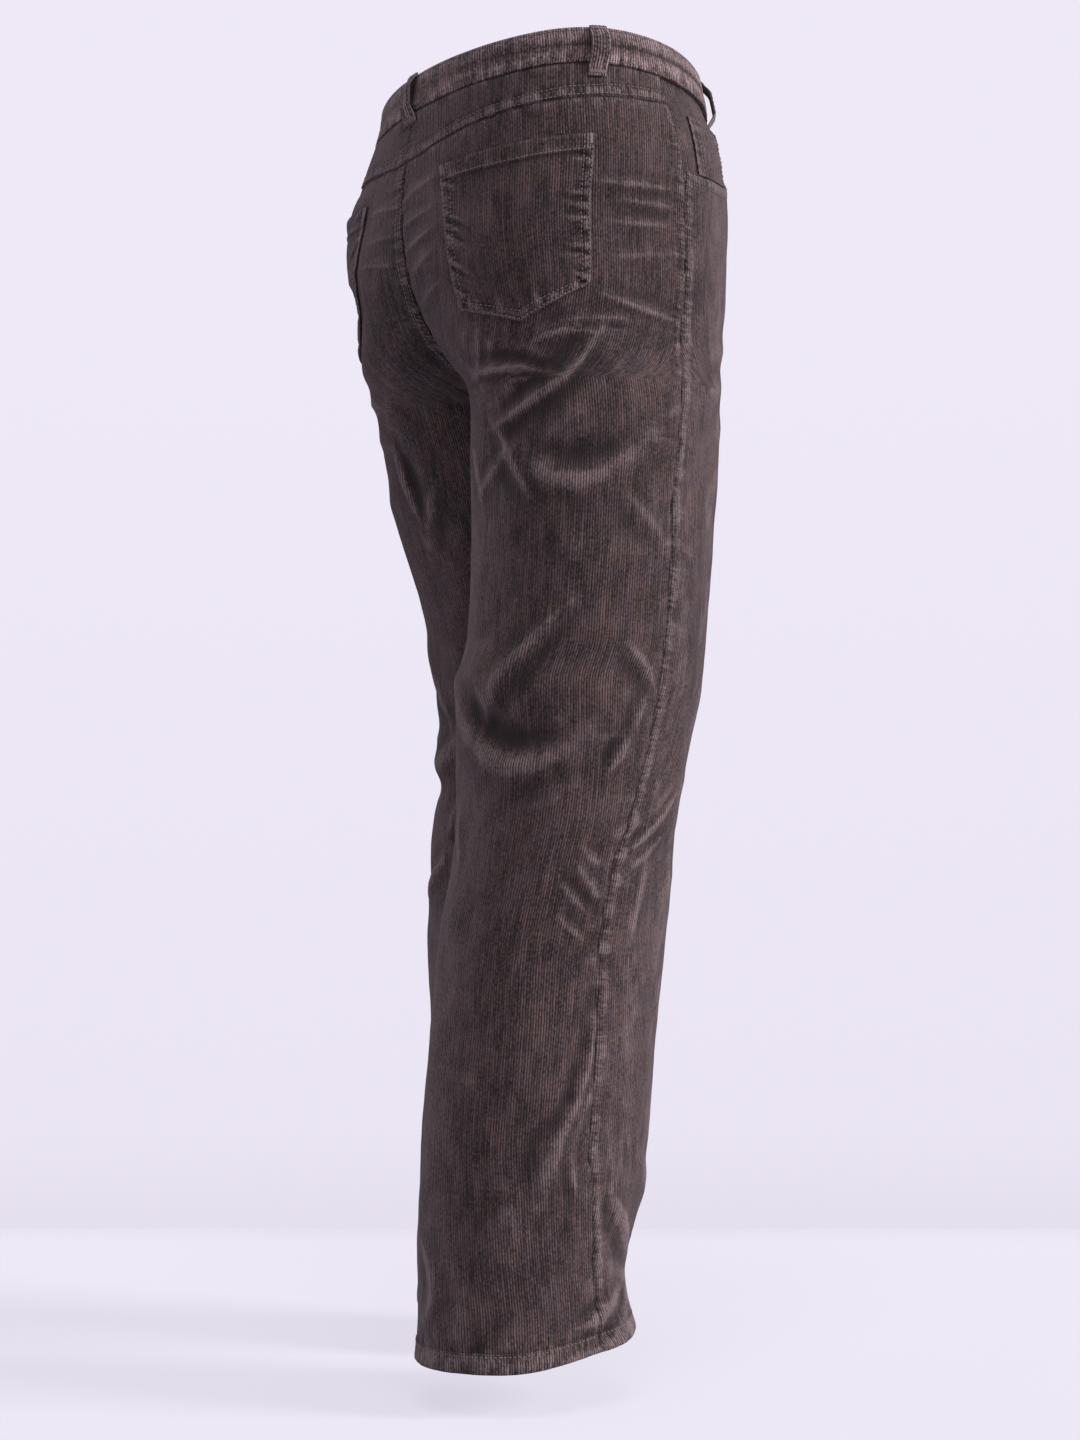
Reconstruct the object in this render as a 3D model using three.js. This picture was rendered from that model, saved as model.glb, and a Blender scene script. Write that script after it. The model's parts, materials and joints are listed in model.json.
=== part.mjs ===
// Corduroy trousers as they hang when worn: a five-pocket cut with straight, wide legs, hollow,
// standing at ease with the left leg a little forward and the right hip a little higher.
// Millimetres, +Z up. The front faces -Y and the wearer's left is +X.
// The origin is the centre of the waistband's top edge.

import * as THREE from "three";

// Cloth
const CLOTH = 1.5;
const SEAM_GAP = 0.3;
const HALF_GAP = SEAM_GAP / 2;

// Waistband, in one strip whose right end lies under the left one at the front
const BAND_HEIGHT = 30;
const BAND_WALL = 2.6;
const BAND_PROUD = 0.8;
const BAND_STATIONS = 52;
const BAND_UNDERLAP = 14;
const BAND_STEP = 9;
const UNDER_BAND = -(BAND_HEIGHT + SEAM_GAP);

// Stance of the hips: the right side is up, and the back a little higher than the front
const TILT_SIDE = 0.14;
const TILT_BACK = 0.045;
const TILT_LEVEL = -20;
const TILT_DEPTH = 400;
const CROTCH = -254;
const RIDE_FROM = -54;
const RIDE_TO = -28;

// How square the sections are, where 2 is an ellipse. The outer side squares up at the seat, and the
// inner side towards the hips, where the halves meet.
const ELLIPSE = 2;
const OUTER_POWER = 2.08;
const SEAT_POWER = 0.36;
const SEAT = { bottom: -190, full: -110, fading: -50, top: -8 };
const HIP_REACH = 60;
const HIP_POWER_BACK = 0.1;
const HIP_POWER_FRONT = 1.2;

// Belt loops
const LOOP_WIDTH = 14;
const LOOP_WALL = 1.8;
const LOOP_TOP = 0.5;
const LOOP_LENGTH = 40;
const LOOP_GAP = 5.6;
const LOOP_STEPS = 9;

// Pockets
const OPENING_REACH = 58;
const OPENING_DROP = 72;
const FACING_OVERLAP = 14;
const UNDER_FRONT = -(CLOTH + 1);
const COIN_WALL = 1.2;
const COIN_GAP = 0.7;
const COIN_CLEARANCE = 1;
const POCKET_GAP = 0.8;
const POCKET_DEPTH = 120;
const POCKET_HEM = 16;
const HEM_EXTRA = 0.8;

// Fly
const FLY_LENGTH = 155;
const UNDERLAP_START = -10;
const UNDERLAP_WIDTH = 46;
const UNDERLAP_LENGTH = FLY_LENGTH + 8;
const ZIP_START = 4;
const ZIP_WIDTH = 24;
const ZIP_WALL = 1.2;
const ZIP_LIFT = -(CLOTH + 1.6);
const UNDERLAP_LIFT = ZIP_LIFT - ZIP_WALL - 0.8;

// Leg hems
const HEM_TOP = -997;
const HEM_BOTTOM = -1012;
const HEM_RISE = 22;

// Waist button
const BUTTON_RADIUS = 8.5;
const BUTTON_HEIGHT = 3.4;
const BUTTON_INSET = 5.5;

const CORDUROY = { color: 0x423839, roughness: 0.95, metalness: 0 };
const HORN = { color: 0x2c2320, roughness: 0.45, metalness: 0 };

const named = (names, rows) =>
  rows.map((row) => Object.fromEntries(names.map((name, i) => [name, row[i]])));

// Sections of one half, at a height z: how far its middle is out and aft, its half width, its depth
// behind and in front, and the degrees by which the side seam is turned forwards
const SECTION = ["z", "out", "aft", "half", "back", "front", "turn"];
const HIPS = named(SECTION, [
  [20, 0, 0, 146, 119, 115, -4],
  [8, 0, 0, 149, 120, 117, -4],
  [-28, 0, -1, 155, 124, 124, -5],
  [-60, 8, -3, 157, 131, 130, -6],
  [-102, 24, -4, 146, 138, 131, -9],
  [-145, 40, -4, 128, 141, 126, -11],
  [-185, 53, -4, 114, 136, 120, -12],
  [-220, 68, -2, 99, 126, 113, -12],
]);
const RIGHT_LEG = named(SECTION, [
  [-258, 86, 1, 86, 110, 105, -13],
  [-295, 90, 6, 86, 103, 104, -13],
  [-335, 91, 10, 86, 99, 105, -11],
  [-395, 92, 14, 88, 97, 104, -10],
  [-450, 92, 17, 88, 97, 102, -9],
  [-485, 92, 20, 88, 106, 101, -9],
  [-515, 92, 25, 86, 101, 99, -9],
  [-555, 92, 31, 84, 94, 95, -7],
  [-595, 92, 36, 82, 90, 93, -3],
  [-635, 92, 41, 80, 89, 93, 3],
  [-695, 92, 48, 80, 94, 92, 5],
  [-765, 92, 56, 80, 95, 93, 2],
  [-835, 92, 62, 80, 95, 93, 2],
  [-895, 93, 68, 79, 93, 89, -3],
  [-950, 93, 76, 76, 88, 81, -11],
  [-986, 93, 75, 74, 90, 88, -14],
  [-1014, 93, 74, 74, 92, 101, -14],
]);
const LEFT_LEG = named(SECTION, [
  [-258, 86, -5, 85, 105, 103, -9],
  [-295, 90, -14, 84, 100, 104, -8],
  [-335, 93, -24, 85, 98, 105, -7],
  [-395, 97, -42, 86, 93, 103, -6],
  [-450, 99, -56, 86, 90, 101, -5],
  [-495, 99, -63, 86, 90, 99, -4],
  [-555, 100, -64, 84, 90, 97, -3],
  [-630, 100, -60, 80, 93, 92, 0],
  [-695, 100, -58, 80, 93, 92, 0],
  [-765, 100, -56, 79, 90, 90, 0],
  [-835, 100, -52, 78, 88, 88, 0],
  [-895, 101, -48, 76, 87, 87, -2],
  [-950, 101, -45, 75, 86, 82, -4],
  [-986, 101, -44, 74, 88, 86, -6],
  [-1014, 101, -43, 74, 90, 96, -6],
]);

// How the band rides up behind the right hip and dips in front: the angle in the middle of the
// stretch, its spread and its height
const RIDE = ["middle", "spread", "height"];
const RIGHT_RIDES = named(RIDE, [
  [26, 34, 6],
  [-28, 26, -2],
  [-75, 40, -7],
]);
const LEFT_RIDES = named(RIDE, [[-75, 40, -7]]);

// Main folds, as arcs from one point over a second to a third, each an angle round the leg and a height,
// with their half width and their height, which is negative in a trough
const FOLD = ["a0", "z0", "a1", "z1", "a2", "z2", "width", "height"];
const RIGHT_FOLDS = named(FOLD, [
  [30, -222, 54, -262, 92, -292, 11, 5.0],
  [40, -244, 66, -286, 100, -306, 12, -4.5],
  [36, -222, 64, -246, 97, -254, 10, 3.0],
  [78, -304, 52, -356, 14, -298, 12, 4.0],
  [74, -330, 50, -376, 20, -326, 13, -3.5],
  [90, -288, 80, -316, 68, -346, 9, 3.0],
  [118, -488, 78, -606, 30, -526, 13, 5.0],
  [104, -470, 76, -560, 40, -500, 15, -5.0],
  [86, -516, 72, -462, 46, -426, 11, 3.5],
  [18, -452, 10, -478, 2, -500, 9, 3.0],
  [-4, -624, -18, -596, -34, -574, 10, 3.5],
  [104, -590, 98, -612, 95, -630, 9, 3.0],
  [0, -750, 4, -812, 20, -852, 10, 3.0],
  [6, -806, 16, -850, 27, -890, 11, 3.5],
  [-12, -884, -22, -912, -40, -938, 12, 4.0],
  [106, -918, 84, -950, 100, -984, 10, 4.0],
  [20, -988, -4, -982, -34, -962, 9, -4.0],
]);
const LEFT_FOLDS = named(FOLD, [
  [34, -228, 58, -266, 94, -288, 12, 4.5],
  [42, -250, 70, -290, 104, -304, 12, -4.0],
  [40, -226, 70, -248, 98, -256, 10, 2.5],
  [82, -312, 54, -352, 18, -304, 13, 3.5],
  [94, -286, 98, -318, 102, -350, 9, 3.0],
  [122, -496, 82, -590, 34, -536, 14, 4.5],
  [108, -478, 78, -556, 36, -508, 15, -4.5],
  [88, -520, 70, -476, 50, -440, 11, 3.0],
  [92, -632, 80, -650, 62, -672, 11, 4.0],
  [-8, -640, -24, -604, -40, -590, 11, 3.5],
  [2, -770, 8, -822, 24, -862, 11, 3.0],
  [-16, -890, -30, -918, -46, -940, 12, 3.5],
  [102, -924, 80, -954, 94, -988, 11, 3.5],
  [24, -990, 0, -984, -30, -966, 10, -3.5],
]);
const FOLD_RADIUS = 96;
const FOLD_STATIONS = 14;

// Rows of a leg panel, from its top edge down: the lowest height of a stretch, and the step in it
const STRETCHES = named(["bottom", "step"], [
  [-200, 22],
  [-352, 16],
  [-440, 25],
  [-640, 21],
  [-780, 32],
  [-900, 28],
  [HEM_TOP, 18],
]);
const PANEL_COLUMNS = 10;

const smooth = (value, from, to) => THREE.MathUtils.smoothstep(value, from, to);
const radians = THREE.MathUtils.degToRad;
const mix = THREE.MathUtils.lerp;

// A curve through one column of a table that keeps between its neighbouring values.
function curveOf(rows, key) {
  const sorted = [...rows].sort((a, b) => a.z - b.z);
  const heights = sorted.map((row) => row.z);
  const values = sorted.map((row) => row[key]);
  const steps = heights.slice(1).map((height, i) => height - heights[i]);
  const slopes = steps.map((step, i) => (values[i + 1] - values[i]) / step);
  const tangents = values.map((_, i) => {
    if (i === 0) return slopes[0];
    if (i === slopes.length) return slopes[i - 1];
    if (slopes[i - 1] * slopes[i] <= 0) return 0;
    const before = 2 * steps[i] + steps[i - 1];
    const after = steps[i] + 2 * steps[i - 1];
    return (before + after) / (before / slopes[i - 1] + after / slopes[i]);
  });
  return (z) => {
    const height = THREE.MathUtils.clamp(z, heights[0], heights.at(-1));
    const i = Math.max(heights.findIndex((value) => value >= height) - 1, 0);
    const t = (height - heights[i]) / steps[i];
    const rise = 1 - t;
    return (1 + 2 * t) * rise * rise * values[i] + t * rise * rise * steps[i] * tangents[i]
      + t * t * (3 - 2 * t) * values[i + 1] - t * t * rise * steps[i] * tangents[i + 1];
  };
}

function halfOf(side, leg, folds, rides) {
  const rows = [...HIPS, ...leg];
  const curves = SECTION.slice(1).map((key) => [key, curveOf(rows, key)]);
  const at = (z) => Object.fromEntries(curves.map(([key, curve]) => [key, curve(z)]));
  return { side, folds, rides, at };
}

const RIGHT = halfOf(-1, RIGHT_LEG, RIGHT_FOLDS, RIGHT_RIDES);
const LEFT = halfOf(1, LEFT_LEG, LEFT_FOLDS, LEFT_RIDES);
const HALVES = { right: RIGHT, left: LEFT };

const rounded = (value, power) => Math.sign(value) * Math.abs(value) ** (2 / power);

// The smooth form of a half. The angle is 0 at the side seam, 90 behind, 180 at the inseam and
// negative in front.
function form(half, angle, z) {
  const { out, aft, half: width, back, front, turn } = half.at(z);
  const turned = radians(angle + turn * Math.cos(radians(angle) / 2) ** 2);
  const across = Math.cos(turned);
  const along = Math.sin(turned);
  const hip = THREE.MathUtils.clamp((z - CROTCH) / HIP_REACH, 0, 1);
  const seat = SEAT_POWER * smooth(z, SEAT.bottom, SEAT.full) * (1 - smooth(z, SEAT.fading, SEAT.top));
  const outer = along >= 0 ? OUTER_POWER + seat : OUTER_POWER;
  const inner = ELLIPSE + (along >= 0 ? HIP_POWER_BACK : HIP_POWER_FRONT) * hip;
  const power = across >= 0 ? outer : inner;
  const x = half.side * (out + width * rounded(across, power));
  const y = aft + (along >= 0 ? back : front) * rounded(along, power);
  const tilt = smooth(z, TILT_LEVEL - TILT_DEPTH, TILT_LEVEL) * (TILT_BACK * y - TILT_SIDE * x);
  let ride = 0;
  for (const { middle, spread, height } of half.rides) {
    ride += height * Math.exp(-(((angle - middle) / spread) ** 2));
  }
  return new THREE.Vector3(x, y, z + tilt + ride * smooth(z, RIDE_FROM, RIDE_TO));
}

function outward(half, angle, z) {
  const round = form(half, angle + 0.5, z).sub(form(half, angle - 0.5, z));
  const up = form(half, angle, z + 1).sub(form(half, angle, z - 1));
  const normal = round.cross(up).normalize();
  const { out, aft } = half.at(z);
  const fromMiddle = form(half, angle, z).sub(new THREE.Vector3(half.side * out, aft, z));
  return normal.dot(fromMiddle) < 0 ? normal.negate() : normal;
}

// How far the folds lift the cloth at one place.
function relief(half, angle, z) {
  let lift = 0;
  for (const fold of half.folds) {
    let nearest = Infinity;
    let ending = 0;
    for (let i = 0; i <= FOLD_STATIONS; i += 1) {
      const t = i / FOLD_STATIONS;
      const a = mix(mix(fold.a0, fold.a1, t), mix(fold.a1, fold.a2, t), t);
      const h = mix(mix(fold.z0, fold.z1, t), mix(fold.z1, fold.z2, t), t);
      const distance = Math.hypot(radians(angle - a) * FOLD_RADIUS, z - h);
      if (distance < nearest) {
        nearest = distance;
        ending = Math.sin(Math.PI * THREE.MathUtils.clamp(t, 0.12, 0.88));
      }
    }
    lift += fold.height * ending * Math.exp(-((nearest / fold.width) ** 2));
  }
  return lift;
}

// A point of the cloth, lifted off the form. Panels keep to their own side of the middle.
function cloth(half, angle, z, lift, crossing = false) {
  const normal = outward(half, angle, z);
  const point = form(half, angle, z).addScaledVector(normal, relief(half, angle, z) + lift);
  if (!crossing) point.x = half.side * Math.max(half.side * point.x, HALF_GAP);
  return point;
}

// The angle at which a half comes to a distance from the middle, or its inseam where it doesn't.
// face is 1 behind, -1 in front.
function innerAngle(half, face, z, distance = HALF_GAP) {
  const { out, half: width } = half.at(z);
  if (out - width >= distance - HALF_GAP) return 180 * face;
  let near = 60;
  let far = 180;
  for (let i = 0; i < 30; i += 1) {
    const middle = (near + far) / 2;
    if (half.side * form(half, face * middle, z).x > distance) near = middle;
    else far = middle;
  }
  return face * near;
}

// The angle at a fraction of the width of a front or back, with the seams' gap left at both edges.
const ARC_STATIONS = 48;
function angleAcross(half, face, z, fraction) {
  const end = innerAngle(half, face, z);
  const arcs = [0];
  const flat = (angle) => form(half, angle, z).setZ(0);
  for (let i = 1; i <= ARC_STATIONS; i += 1) {
    const from = flat((end * (i - 1)) / ARC_STATIONS);
    arcs.push(arcs[i - 1] + from.distanceTo(flat((end * i) / ARC_STATIONS)));
  }
  const target = mix(HALF_GAP, arcs[ARC_STATIONS] - HALF_GAP, fraction);
  const i = arcs.findIndex((arc) => arc >= target);
  return (end * (i - 1 + (target - arcs[i - 1]) / (arcs[i] - arcs[i - 1]))) / ARC_STATIONS;
}

// Edges of the panels, as heights by angle
const yokeSeam = (angle) => -51 - 21 * Math.min(Math.abs(angle) / 93, 1) ** 1.7;
const hemRise = (angle) => HEM_RISE * ((1 - Math.sin(radians(angle))) / 2) ** 3;
function openingEdge(angle) {
  const reach = THREE.MathUtils.clamp(Math.abs(angle) / OPENING_REACH, 0, 1);
  return UNDER_BAND - OPENING_DROP * (1 - reach ** 3.6) ** (1 / 2.3);
}

// A closed wall between an outer and an inner grid of points.
function wall(columns, rows, outer, inner) {
  const stride = columns + 1;
  const layer = stride * (rows + 1);
  const positions = [];
  for (const place of [outer, inner]) {
    for (let row = 0; row <= rows; row += 1) {
      for (let column = 0; column <= columns; column += 1) positions.push(...place(column, row).toArray());
    }
  }
  const faces = [];
  const quad = (a, b, c, d) => faces.push(a, b, c, a, c, d);
  for (let row = 0; row < rows; row += 1) {
    for (let column = 0; column < columns; column += 1) {
      const a = row * stride + column;
      quad(a, a + stride, a + stride + 1, a + 1);
      quad(layer + a, layer + a + 1, layer + a + stride + 1, layer + a + stride);
    }
  }
  const bottom = rows * stride;
  for (let column = 0; column < columns; column += 1) {
    quad(column, column + 1, layer + column + 1, layer + column);
    quad(bottom + column, layer + bottom + column, layer + bottom + column + 1, bottom + column + 1);
  }
  for (let row = 0; row < rows; row += 1) {
    const left = row * stride;
    const right = left + columns;
    quad(left, layer + left, layer + left + stride, left + stride);
    quad(right, right + stride, layer + right + stride, layer + right);
  }
  return closedGeometry(positions, faces);
}

// A geometry whose faces all point outwards.
function closedGeometry(positions, faces) {
  const corner = (i) => new THREE.Vector3().fromArray(positions, faces[i] * 3);
  let volume = 0;
  for (let i = 0; i < faces.length; i += 3) volume += corner(i).dot(corner(i + 1).cross(corner(i + 2)));
  if (volume < 0) faces.reverse();
  const geometry = new THREE.BufferGeometry();
  geometry.setAttribute("position", new THREE.Float32BufferAttribute(positions, 3));
  geometry.setIndex(faces);
  geometry.computeVertexNormals();
  return geometry;
}

function piece(name, geometry, finish) {
  const mesh = new THREE.Mesh(geometry, new THREE.MeshStandardMaterial(finish));
  mesh.name = name;
  return mesh;
}

// A front or back, laid in rows from its top edge to the hem. The rows follow the top edge at first
// and the hem's slope at last.
const TOP_FADE = 130;
const HEM_FADE = 62;
function legPanel(half, face, topEdge) {
  const top = face > 0 ? yokeSeam(0) - SEAM_GAP : UNDER_BAND;
  const levels = [top];
  for (const { bottom, step } of STRETCHES) {
    const from = levels.at(-1);
    const count = Math.round((from - bottom) / step);
    for (let i = 1; i <= count; i += 1) levels.push(mix(from, bottom, i / count));
  }
  levels.push(HEM_TOP - SEAM_GAP, HEM_BOTTOM);
  const place = (column, row, wallDepth) => {
    const level = levels[row];
    const heightAt = (angle) => level
      + (topEdge(angle) - top) * (1 - smooth(top - level, 0, TOP_FADE))
      + hemRise(angle) * smooth(-level, -HEM_BOTTOM - HEM_FADE, -HEM_BOTTOM);
    let z = level;
    let angle = 0;
    for (let i = 0; i < 4; i += 1) {
      angle = angleAcross(half, face, z, column / PANEL_COLUMNS);
      z = heightAt(angle);
    }
    const proud = level < HEM_TOP ? HEM_EXTRA : 0;
    return cloth(half, angle, z, wallDepth ? -CLOTH - proud : proud);
  };
  return wall(PANEL_COLUMNS, levels.length - 1, (c, r) => place(c, r, false), (c, r) => place(c, r, true));
}

// A patch between four edges: its place by the fraction across and the row, and its lift by the row.
function patch(half, columns, rows, placeAt, liftAt, thickness, crossing = false) {
  const point = (column, row, sunk) => {
    const [angle, z] = placeAt(column / columns, row);
    return cloth(half, angle, z, liftAt(row) - sunk, crossing);
  };
  return wall(columns, rows, (c, r) => point(c, r, 0), (c, r) => point(c, r, thickness));
}

function yoke(half) {
  const columns = 10;
  const rows = 3;
  const placeAt = (across, row) => {
    let z = UNDER_BAND;
    let angle = 0;
    for (let i = 0; i < 4; i += 1) {
      angle = angleAcross(half, 1, z, across);
      z = mix(UNDER_BAND, yokeSeam(angle), row / rows);
    }
    return [angle, z];
  };
  return patch(half, columns, rows, placeAt, () => 0, CLOTH);
}

// The facing that shows in a front pocket's opening, under the front's edge.
const FACING_REACH = 68;
function pocketFacing(half) {
  const columns = 9;
  const rows = 5;
  const placeAt = (across, row) => {
    const angle = mix(angleAcross(half, -1, UNDER_BAND, 0), -FACING_REACH, across);
    const bottom = openingEdge((angle * OPENING_REACH) / FACING_REACH) - FACING_OVERLAP;
    return [angle, mix(UNDER_BAND, bottom, row / rows)];
  };
  return patch(half, columns, rows, placeAt, () => UNDER_FRONT, CLOTH);
}

// The coin pocket on the right facing, down to the front's edge.
const COIN = { left: -9, right: -34, top: -56 };
function coinPocket(half) {
  const columns = 4;
  const rows = 3;
  const placeAt = (across, row) => {
    const angle = mix(COIN.left, COIN.right, across);
    return [angle, mix(COIN.top, openingEdge(angle) + COIN_CLEARANCE, row / rows)];
  };
  return patch(half, columns, rows, placeAt, () => UNDER_FRONT + COIN_GAP + COIN_WALL, COIN_WALL);
}

// The patch pocket on a back, with a turned hem along its top and a pointed bottom.
const POCKET = { inner: 84, outer: 28, topInner: -92, topOuter: -84 };
const POCKET_FOOT = { inner: 86, outer: 36, point: 62, zInner: -204, zOuter: -192, zPoint: -218 };
function backPocket(half) {
  const columns = 8;
  const hem = [POCKET_HEM / POCKET_DEPTH, (POCKET_HEM + SEAM_GAP) / POCKET_DEPTH];
  const fractions = [0, ...hem, 0.3, 0.48, 0.66, 0.84, 1];
  const pointAt = (POCKET_FOOT.inner - POCKET_FOOT.point) / (POCKET_FOOT.inner - POCKET_FOOT.outer);
  const placeAt = (across, row) => {
    const down = fractions[row];
    const foot = across < pointAt
      ? mix(POCKET_FOOT.zInner, POCKET_FOOT.zPoint, across / pointAt)
      : mix(POCKET_FOOT.zPoint, POCKET_FOOT.zOuter, (across - pointAt) / (1 - pointAt));
    const inner = mix(POCKET.inner, POCKET_FOOT.inner, down);
    const outer = mix(POCKET.outer, POCKET_FOOT.outer, down);
    return [mix(inner, outer, across), mix(mix(POCKET.topInner, POCKET.topOuter, across), foot, down)];
  };
  const thick = (row) => CLOTH + (row < 2 ? HEM_EXTRA : 0);
  const point = (column, row, lift) => {
    const [angle, z] = placeAt(column / columns, row);
    return cloth(half, angle, z, lift);
  };
  return wall(
    columns, fractions.length - 1,
    (c, r) => point(c, r, POCKET_GAP + thick(r)), (c, r) => point(c, r, POCKET_GAP),
  );
}

// A point on the ring of the waist, by the degrees from the front's middle over the right side.
function ringPoint(degrees, z, lift) {
  const turn = (degrees + 360) % 360;
  const half = turn < 180 ? RIGHT : LEFT;
  const fraction = turn < 180 ? turn / 180 : (360 - turn) / 180;
  const angle = mix(innerAngle(half, -1, z), innerAngle(half, 1, z), fraction);
  return cloth(half, angle, z, lift, true);
}

// The waistband runs from under the left end, round the right side and the back, to the front's middle.
function waistband() {
  const heights = [0, -2, -BAND_HEIGHT / 2, 2 - BAND_HEIGHT, -BAND_HEIGHT];
  const rounding = [-0.7, 0, 0.2, 0, -0.3];
  const under = BAND_WALL + SEAM_GAP;
  const degreesAt = (column) => mix(-BAND_UNDERLAP, 360 - 0.1, column / BAND_STATIONS);
  const liftAt = (column) => BAND_PROUD - under * (1 - smooth(degreesAt(column), 1, 1 + BAND_STEP));
  return wall(
    BAND_STATIONS, heights.length - 1,
    (c, r) => ringPoint(degreesAt(c), heights[r], liftAt(c) + rounding[r]),
    (c, r) => ringPoint(degreesAt(c), heights[r], liftAt(c) - BAND_WALL),
  );
}

// A belt loop, sewn down at both ends and standing off the band between them. rest is the lift of the
// cloth under its lower end.
function beltLoop(degrees, rest) {
  const columns = 2;
  const perDegree = ringPoint(degrees - 0.5, 0, 0).distanceTo(ringPoint(degrees + 0.5, 0, 0));
  const tab = SEAM_GAP + BAND_PROUD;
  const place = (column, row, wallDepth) => {
    const t = row / LOOP_STEPS;
    const z = LOOP_TOP - LOOP_LENGTH * t;
    const stand = LOOP_GAP * smooth(t, 0, 0.3) * (1 - smooth(t, 0.62, 0.97));
    const foot = mix(tab, rest + SEAM_GAP, smooth(t, 0.75, 1));
    const sideways = ((column / columns - 0.5) * LOOP_WIDTH) / perDegree;
    return ringPoint(degrees + sideways, z, foot + stand + wallDepth);
  };
  return wall(columns, LOOP_STEPS, (c, r) => place(c, r, LOOP_WALL), (c, r) => place(c, r, 0));
}

// A strip behind the fly, by its distance from the middle towards the left.
function flyStrip(from, to, length, lift, thickness) {
  const columns = 4;
  const rows = 8;
  const point = (column, row, sunk) => {
    const z = mix(UNDER_BAND, UNDER_BAND - length, row / rows);
    const x = mix(from, to, column / columns);
    const half = x < 0 ? RIGHT : LEFT;
    return cloth(half, innerAngle(half, -1, z, Math.abs(x)), z, lift - sunk, true);
  };
  return wall(columns, rows, (c, r) => point(c, r, 0), (c, r) => point(c, r, thickness));
}

// The button on the band's left end, a turned disc with a rim and a dished face.
function waistButton() {
  const profile = [
    [0, 0], [BUTTON_RADIUS * 0.8, 0], [BUTTON_RADIUS, BUTTON_HEIGHT * 0.4],
    [BUTTON_RADIUS * 0.96, BUTTON_HEIGHT * 0.85], [BUTTON_RADIUS * 0.82, BUTTON_HEIGHT],
    [BUTTON_RADIUS * 0.66, BUTTON_HEIGHT * 0.86], [BUTTON_RADIUS * 0.55, BUTTON_HEIGHT * 0.62],
    [0, BUTTON_HEIGHT * 0.55],
  ].map(([radius, height]) => new THREE.Vector2(radius, height));
  const button = piece("waist_button", new THREE.LatheGeometry(profile, 20), HORN);
  const degrees = -BUTTON_INSET;
  const seat = ringPoint(degrees, -BAND_HEIGHT / 2, BAND_PROUD + SEAM_GAP + 0.3);
  const axis = ringPoint(degrees, -BAND_HEIGHT / 2, 20).sub(seat).normalize();
  button.position.copy(seat);
  button.quaternion.setFromUnitVectors(new THREE.Vector3(0, 1, 0), axis);
  return button;
}

const LOOPS = named(["name", "degrees", "rest"], [
  ["belt_loop_back", 180, 0],
  ["belt_loop_right_back", 110, 0],
  ["belt_loop_left_back", 248, 0],
  ["belt_loop_right_front", 42, UNDER_FRONT],
  ["belt_loop_left_front", 318, UNDER_FRONT],
]);

const trousers = new THREE.Group();
for (const [name, half] of Object.entries(HALVES)) {
  trousers.add(piece(`front_${name}`, legPanel(half, -1, openingEdge), CORDUROY));
  trousers.add(piece(`back_${name}`, legPanel(half, 1, (angle) => yokeSeam(angle) - SEAM_GAP), CORDUROY));
  trousers.add(piece(`yoke_${name}`, yoke(half), CORDUROY));
  trousers.add(piece(`pocket_facing_${name}`, pocketFacing(half), CORDUROY));
  trousers.add(piece(`back_pocket_${name}`, backPocket(half), CORDUROY));
}
trousers.add(piece("coin_pocket", coinPocket(RIGHT), CORDUROY));
trousers.add(piece("waistband", waistband(), CORDUROY));
for (const { name, degrees, rest } of LOOPS) trousers.add(piece(name, beltLoop(degrees, rest), CORDUROY));
const zip = flyStrip(ZIP_START, ZIP_START + ZIP_WIDTH, FLY_LENGTH, ZIP_LIFT, ZIP_WALL);
trousers.add(piece("fly_zip", zip, HORN));
const underlap = flyStrip(
  UNDERLAP_START, UNDERLAP_START + UNDERLAP_WIDTH, UNDERLAP_LENGTH, UNDERLAP_LIFT, CLOTH,
);
trousers.add(piece("fly_underlap", underlap, CORDUROY));
trousers.add(waistButton());

export default trousers;
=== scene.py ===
# Corduroy trousers, worn and hollow: cloth panels with their folds and puckers, washed corduroy,
# double-stitched seams, and a pale studio.
# The form is worked out in millimetres and laid down in metres, in the frame of the solids.

import json
import math

import bmesh
import bpy
import numpy as np
from bpy.props import FloatProperty, FloatVectorProperty, IntProperty, PointerProperty
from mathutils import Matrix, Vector
from mathutils.bvhtree import BVHTree

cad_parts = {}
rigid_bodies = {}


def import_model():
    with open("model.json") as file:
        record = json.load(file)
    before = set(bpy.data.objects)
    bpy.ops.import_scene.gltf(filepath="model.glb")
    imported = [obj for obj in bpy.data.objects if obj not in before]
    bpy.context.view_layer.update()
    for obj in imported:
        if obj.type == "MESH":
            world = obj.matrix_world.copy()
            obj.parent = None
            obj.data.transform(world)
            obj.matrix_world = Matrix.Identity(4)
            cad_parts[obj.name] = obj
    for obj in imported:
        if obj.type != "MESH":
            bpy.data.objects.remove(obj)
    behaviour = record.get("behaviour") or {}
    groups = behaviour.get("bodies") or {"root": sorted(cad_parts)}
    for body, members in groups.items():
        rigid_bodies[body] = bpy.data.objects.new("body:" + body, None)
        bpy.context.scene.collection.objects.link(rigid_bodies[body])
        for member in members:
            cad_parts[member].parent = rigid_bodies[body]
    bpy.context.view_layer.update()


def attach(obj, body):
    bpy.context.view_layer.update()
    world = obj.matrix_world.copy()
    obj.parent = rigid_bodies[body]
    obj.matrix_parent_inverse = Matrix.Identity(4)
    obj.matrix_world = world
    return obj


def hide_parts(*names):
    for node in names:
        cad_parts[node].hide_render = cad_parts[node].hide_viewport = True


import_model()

bl_info = {
    "name": "Corduroy Trousers",
    "version": (1, 0, 0),
    "blender": (4, 5, 0),
    "location": "View3D > Sidebar > Trousers",
    "description": "Builds worn corduroy trousers piece by piece, with their sewing and a studio",
    "category": "Object",
}

MM = 0.001
BODY = "root"

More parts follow.
